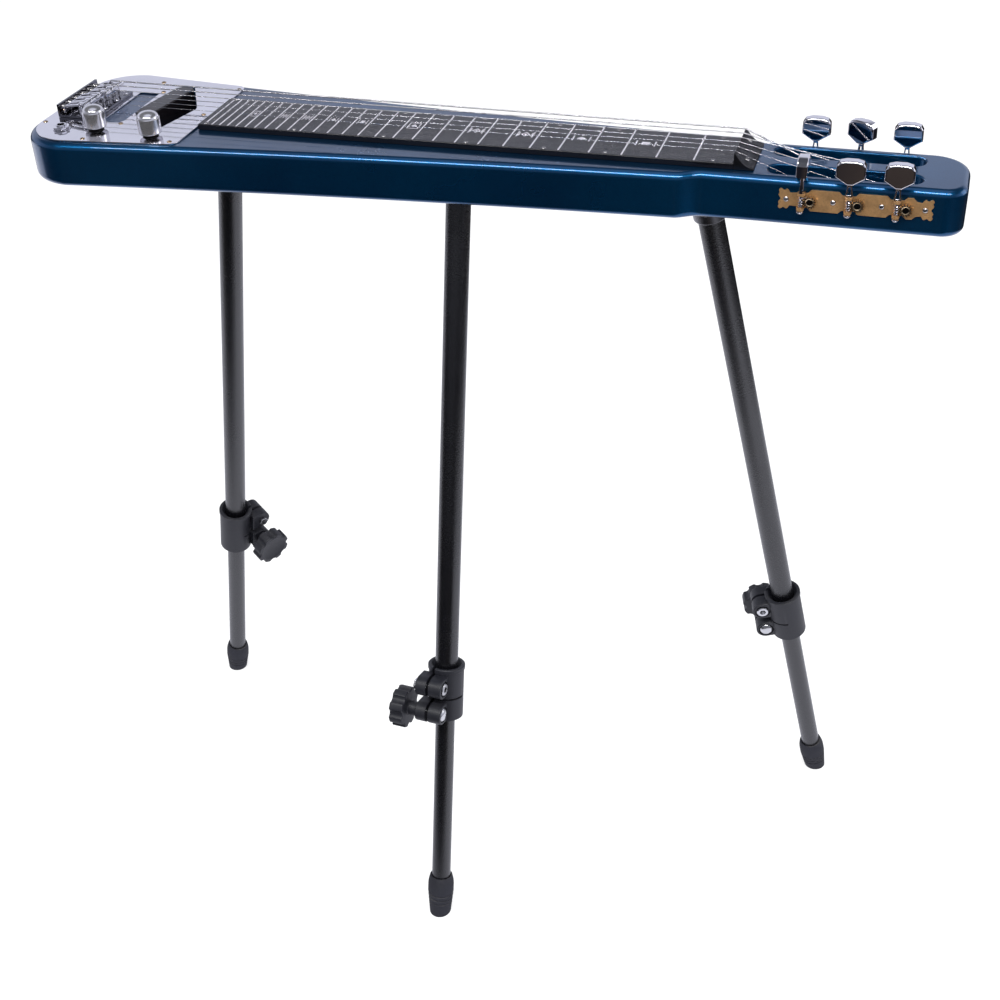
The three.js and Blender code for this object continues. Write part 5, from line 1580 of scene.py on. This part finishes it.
def foot_profile():
    """A bulged top and three ribs on a taper, closed round the hole for the tube."""
    bulge = [(11.4 + 1.8 * math.sin(math.pi / 2 * k / 8), FOOT_TOP + 10.7 * k / 8)
             for k in range(9)]
    ribs = []
    for k in range(3):
        for step, deep in enumerate((0, 0.25, 1, 1, 0.25, 0)):
            z = RIBS_START + RIB_PITCH * k + step * 0.6
            share = (z - RIBS_START) / (FOOT_END - RIBS_START)
            radius = RIBS_RADIUS - (RIBS_RADIUS - SOLE_RADIUS) * share
            ribs.append((radius - deep * RIB_DEPTH, z))
    return [(FOOT_BORE, FOOT_TOP)] + bulge + ribs + [
        (SOLE_RADIUS, FOOT_END), (0, FOOT_END), (0, FOOT_FLOOR), (FOOT_BORE, FOOT_FLOOR),
        (FOOT_BORE, FOOT_TOP)]


def make_feet(context):
    for label, (x, y) in LEG_TOPS.items():
        across, along = polar(
            LEG_LENGTH * math.sin(SPLAY), math.radians(LEG_BEARINGS[label]))
        below = placed(block(-30, 30, -30, 30, -30, 0), x + across, y + along)
        foot = carved(moved(turned(foot_profile(), 56), leg_place(label)), below)
        make_piece(f"rubber_foot_{label}", foot, "foot_rubber", "foot_rubber",
                   [f"foot_{label}"], body=f"lower_leg_{label}")


# Stage
CAMERA_PLACE = (165.3, -1157.15, PLAY_HEIGHT + 460.24)
CAMERA_AZIMUTH, CAMERA_ELEVATION, CAMERA_ROLL = 17.77, 34.49, -2.31
CAMERA_SHIFT = -0.0097
FLOOR_REACH = 14


def make_camera(settings):
    """The photograph's viewpoint, in the guitar's own millimetres."""
    azimuth, elevation, roll = (
        math.radians(a) for a in (CAMERA_AZIMUTH, CAMERA_ELEVATION, CAMERA_ROLL))
    back = Vector((math.sin(azimuth) * math.cos(elevation),
                   -math.cos(azimuth) * math.cos(elevation), math.sin(elevation)))
    right = Vector((math.cos(azimuth), math.sin(azimuth), 0))
    up = right.cross(-back)
    across = math.cos(roll) * right + math.sin(roll) * up
    upward = -math.sin(roll) * right + math.cos(roll) * up
    data = bpy.data.cameras.new("camera")
    data.sensor_width = 36
    data.lens = settings.focal_length
    data.shift_x = CAMERA_SHIFT
    camera = linked("camera", data)
    turn = Matrix((across, upward, back)).transposed().to_4x4()
    camera.matrix_world = Matrix.Translation((Vector(CAMERA_PLACE) + ORIGIN) * MM) @ turn
    bpy.context.scene.camera = camera


def make_lamp(name, place, target, size, power):
    """A soft lamp that looks from its place to a target, all in metres."""
    data = bpy.data.lights.new(name, "AREA")
    data.shape = "RECTANGLE"
    data.size, data.size_y = size
    data.energy = power
    lamp = linked(name, data)
    lamp.location = place
    lamp.rotation_euler = (Vector(target) - Vector(place)).to_track_quat("-Z", "Y").to_euler()


def make_floor(settings):
    """A wide square sheet, in metres."""
    shape = bmesh.new()
    corners = rectangle(FLOOR_REACH, FLOOR_REACH)
    shape.faces.new([shape.verts.new((x, y, 0)) for x, y in corners])
    mesh = as_mesh(shape, "floor")
    floor = linked("floor", mesh)
    mesh.materials.append(make_floor_finish(settings))


def mixed_shader(build, factor, first, second):
    """One shader where the factor is zero and the other where it is one."""
    return build.add("ShaderNodeMixShader", {0: factor, 1: first, 2: second}).outputs[0]


def glow(build, kind, colour, strength=1.0):
    """An emission or a background of a colour, which is fixed or a socket."""
    if not isinstance(colour, bpy.types.NodeSocket):
        colour = (*colour, 1)
    return build.add(kind, {"Color": colour, "Strength": strength}).outputs[0]


def make_floor_finish(settings):
    """A pale floor that is lifted to white for the camera and keeps the shadows. Reflections
    see it pale behind and to the right, and dark in front and far away as in a dim studio."""
    build, shader = new_finish("pale_floor")
    shader.inputs["Base Color"].default_value = (*settings.floor, 1)
    shader.inputs["Roughness"].default_value = 0.85
    shader.inputs["Specular IOR Level"].default_value = 0.2
    path = build.add("ShaderNodeLightPath").outputs
    white = glow(build, "ShaderNodeEmission", (1, 1, 1), 1.2)
    seen = mixed_shader(build, 0.5, shader.outputs[0], white)
    place = build.add("ShaderNodeSeparateXYZ", {"Vector": build.place()}).outputs
    right = build.math("MAXIMUM", place["X"], 0)
    front = build.math("MULTIPLY_ADD", right, -0.55, build.math("MULTIPLY", place["Y"], -1))
    reach = build.math("MULTIPLY_ADD", right, right, build.math("MULTIPLY", place["Y"], place["Y"]))
    pale = build.math("MULTIPLY", spread(build, front, 0.1, 0.4, 1, 0),
                      spread(build, reach, 1.4, 2.6, 1, 0))
    band = spread(build, build.math("SINE", build.math("MULTIPLY", place["X"], 4.5)), 0.2, 0.9)
    dark = blend_colour(build, band, (0.01, 0.01, 0.014), (0.042, 0.033, 0.03))
    colour = blend_colour(build, pale, dark, (0.95, 0.96, 1.08))
    mirrored = glow(build, "ShaderNodeEmission", colour)
    other = mixed_shader(build, path["Is Glossy Ray"], shader.outputs[0], mirrored)
    output = next(node for node in build.tree.nodes if node.type == "OUTPUT_MATERIAL")
    build.link(mixed_shader(build, path["Is Camera Ray"], other, seen), output.inputs["Surface"])
    return FINISHES["pale_floor"]


def make_world(settings):
    """White to the camera, an even sky as light, and for gloss a dark room with a pale backdrop
    that reaches a third of the way up and a pale patch overhead."""
    world = bpy.data.worlds.new("pale_studio")
    world.use_nodes = True
    world.node_tree.nodes.clear()
    build = Tree(world.node_tree)
    path = build.add("ShaderNodeLightPath").outputs
    sky = glow(build, "ShaderNodeBackground", (0.97, 0.98, 1), 0.95 * settings.light)
    way = build.add("ShaderNodeSeparateXYZ", {
        "Vector": build.add("ShaderNodeTexCoord").outputs["Generated"]}).outputs
    backdrop = build.math("MULTIPLY", spread(build, way["Z"], 0.42, 0.56, 1, 0),
                          spread(build, way["Y"], -0.6, -0.1, 0.25, 1))
    pale = build.math("MAXIMUM", backdrop, spread(build, way["Z"], 0.88, 0.96))
    colour = blend_colour(build, pale, (0.07, 0.075, 0.09), (0.62, 0.64, 0.76))
    gloss = glow(build, "ShaderNodeBackground", colour)
    white = glow(build, "ShaderNodeBackground", (1, 1, 1))
    lit = mixed_shader(build, path["Is Glossy Ray"], sky, gloss)
    seen = build.math("MAXIMUM", path["Is Camera Ray"], path["Is Transmission Ray"])
    build.add("ShaderNodeOutputWorld", {"Surface": mixed_shader(build, seen, lit, white)})
    bpy.context.scene.world = world


def make_stage(context):
    settings = context.scene.lap_steel_stage
    context.scene.view_settings.view_transform = "Standard"
    make_camera(settings)
    make_floor(settings)
    make_world(settings)
    make_lamp("front_strip", (0.2, -1.5, 2.7), (0.05, 0, 0.77), (3.0, 0.3), 62 * settings.light)
    make_lamp("side_fill", (2.4, 0.9, 1.3), (0.1, 0, 0.5), (1.2, 1.6), 8 * settings.light)


# Operators, one for each piece or group of like pieces
class LAPSTEEL_OT_stage(bpy.types.Operator):
    """Places the camera, the floor, the sky and the lamps"""
    bl_idname = "lap_steel.stage"
    bl_label = "Stage"

    def execute(self, context):
        make_stage(context)
        return {"FINISHED"}


class LAPSTEEL_OT_finishes(bpy.types.Operator):
    """Builds the materials and the geometry trees that the pieces use"""
    bl_idname = "lap_steel.finishes"
    bl_label = "Finishes"

    def execute(self, context):
        make_finishes()
        make_trees()
        return {"FINISHED"}


class LAPSTEEL_OT_body(bpy.types.Operator):
    """Shapes the lacquered body with its string slots, pocket and cavity"""
    bl_idname = "lap_steel.body"
    bl_label = "Body"

    def execute(self, context):
        make_body(context)
        return {"FINISHED"}


class LAPSTEEL_OT_control_plate(bpy.types.Operator):
    """Cuts the chrome control plate and sets its screws"""
    bl_idname = "lap_steel.control_plate"
    bl_label = "Control plate"

    def execute(self, context):
        make_plate(context)
        return {"FINISHED"}


class LAPSTEEL_OT_pickup(bpy.types.Operator):
    """Makes the slanted bar pickup"""
    bl_idname = "lap_steel.pickup"
    bl_label = "Pickup"

    def execute(self, context):
        make_pickup(context)
        return {"FINISHED"}


class LAPSTEEL_OT_fretboard(bpy.types.Operator):
    """Makes the fretboard with its lines, markers and screws"""
    bl_idname = "lap_steel.fretboard"
    bl_label = "Fretboard"

    def execute(self, context):
        make_fretboard(context)
        return {"FINISHED"}


class LAPSTEEL_OT_nut(bpy.types.Operator):
    """Casts the nut with its curved apron"""
    bl_idname = "lap_steel.nut"
    bl_label = "Nut"

    def execute(self, context):
        make_nut(context)
        return {"FINISHED"}


class LAPSTEEL_OT_bridge(bpy.types.Operator):
    """Bends the bridge plate and saddles and sets their screws and springs"""
    bl_idname = "lap_steel.bridge"
    bl_label = "Bridge"

    def execute(self, context):
        make_bridge(context)
        return {"FINISHED"}


class LAPSTEEL_OT_strings(bpy.types.Operator):
    """Draws the six strings from the bridge to their posts"""
    bl_idname = "lap_steel.strings"
    bl_label = "Strings"

    def execute(self, context):
        make_strings(context)
        return {"FINISHED"}


class LAPSTEEL_OT_knobs(bpy.types.Operator):
    """Turns the control knobs and what they sit on"""
    bl_idname = "lap_steel.knobs"
    bl_label = "Control knobs"

    def execute(self, context):
        make_knobs(context)
        return {"FINISHED"}


class LAPSTEEL_OT_output_socket(bpy.types.Operator):
    """Makes the output socket in the control plate"""
    bl_idname = "lap_steel.output_socket"
    bl_label = "Output socket"

    def execute(self, context):
        make_output_socket(context)
        return {"FINISHED"}


class LAPSTEEL_OT_tuners(bpy.types.Operator):
    """Makes the tuner plates, worm shafts, gears and string posts"""
    bl_idname = "lap_steel.tuners"
    bl_label = "Tuners"

    def execute(self, context):
        make_tuners(context)
        return {"FINISHED"}


class LAPSTEEL_OT_leg_sockets(bpy.types.Operator):
    """Makes the screwed-on leg sockets under the body"""
    bl_idname = "lap_steel.leg_sockets"
    bl_label = "Leg sockets"

    def execute(self, context):
        make_leg_sockets(context)
        return {"FINISHED"}


class LAPSTEEL_OT_leg_tubes(bpy.types.Operator):
    """Makes the upper and lower tube of each leg"""
    bl_idname = "lap_steel.leg_tubes"
    bl_label = "Leg tubes"

    def execute(self, context):
        make_tubes(context)
        return {"FINISHED"}


class LAPSTEEL_OT_clamps(bpy.types.Operator):
    """Makes the clamp collars and their bolts"""
    bl_idname = "lap_steel.clamps"
    bl_label = "Clamps"

    def execute(self, context):
        make_clamps(context)
        return {"FINISHED"}


class LAPSTEEL_OT_star_knobs(bpy.types.Operator):
    """Makes the star knobs of the clamps"""
    bl_idname = "lap_steel.star_knobs"
    bl_label = "Star knobs"

    def execute(self, context):
        make_star_knobs(context)
        return {"FINISHED"}


class LAPSTEEL_OT_feet(bpy.types.Operator):
    """Moulds the ribbed rubber feet"""
    bl_idname = "lap_steel.feet"
    bl_label = "Feet"

    def execute(self, context):
        make_feet(context)
        return {"FINISHED"}


OPERATORS = (
    LAPSTEEL_OT_stage, LAPSTEEL_OT_finishes, LAPSTEEL_OT_body, LAPSTEEL_OT_control_plate,
    LAPSTEEL_OT_pickup, LAPSTEEL_OT_fretboard, LAPSTEEL_OT_nut, LAPSTEEL_OT_bridge,
    LAPSTEEL_OT_strings, LAPSTEEL_OT_knobs, LAPSTEEL_OT_output_socket, LAPSTEEL_OT_tuners,
    LAPSTEEL_OT_leg_sockets, LAPSTEEL_OT_leg_tubes, LAPSTEEL_OT_clamps, LAPSTEEL_OT_star_knobs,
    LAPSTEEL_OT_feet,
)


class LAPSTEEL_PT_build(bpy.types.Panel):
    """The steps that build the instrument, and their settings"""
    bl_idname = "LAPSTEEL_PT_build"
    bl_label = "Lap Steel Guitar"
    bl_space_type = "VIEW_3D"
    bl_region_type = "UI"
    bl_category = "Lap Steel"

    def draw(self, context):
        for operator in OPERATORS:
            self.layout.operator(operator.bl_idname)
        for name, group in SETTINGS:
            box = self.layout.box()
            for key in group.__annotations__:
                box.prop(getattr(context.scene, name), key)


CLASSES = tuple(group for _, group in SETTINGS) + OPERATORS + (LAPSTEEL_PT_build,)


def register():
    for item in CLASSES:
        bpy.utils.register_class(item)
    for name, group in SETTINGS:
        setattr(bpy.types.Scene, name, PointerProperty(type=group))


def unregister():
    for name, _ in SETTINGS:
        delattr(bpy.types.Scene, name)
    for item in reversed(CLASSES):
        bpy.utils.unregister_class(item)


def main():
    register()
    bpy.ops.lap_steel.stage()
    bpy.ops.lap_steel.finishes()
    bpy.ops.lap_steel.body()
    bpy.ops.lap_steel.control_plate()
    bpy.ops.lap_steel.pickup()
    bpy.ops.lap_steel.fretboard()
    bpy.ops.lap_steel.nut()
    bpy.ops.lap_steel.bridge()
    bpy.ops.lap_steel.strings()
    bpy.ops.lap_steel.knobs()
    bpy.ops.lap_steel.output_socket()
    bpy.ops.lap_steel.tuners()
    bpy.ops.lap_steel.leg_sockets()
    bpy.ops.lap_steel.leg_tubes()
    bpy.ops.lap_steel.clamps()
    bpy.ops.lap_steel.star_knobs()
    bpy.ops.lap_steel.feet()


if __name__ == "__main__":
    main()
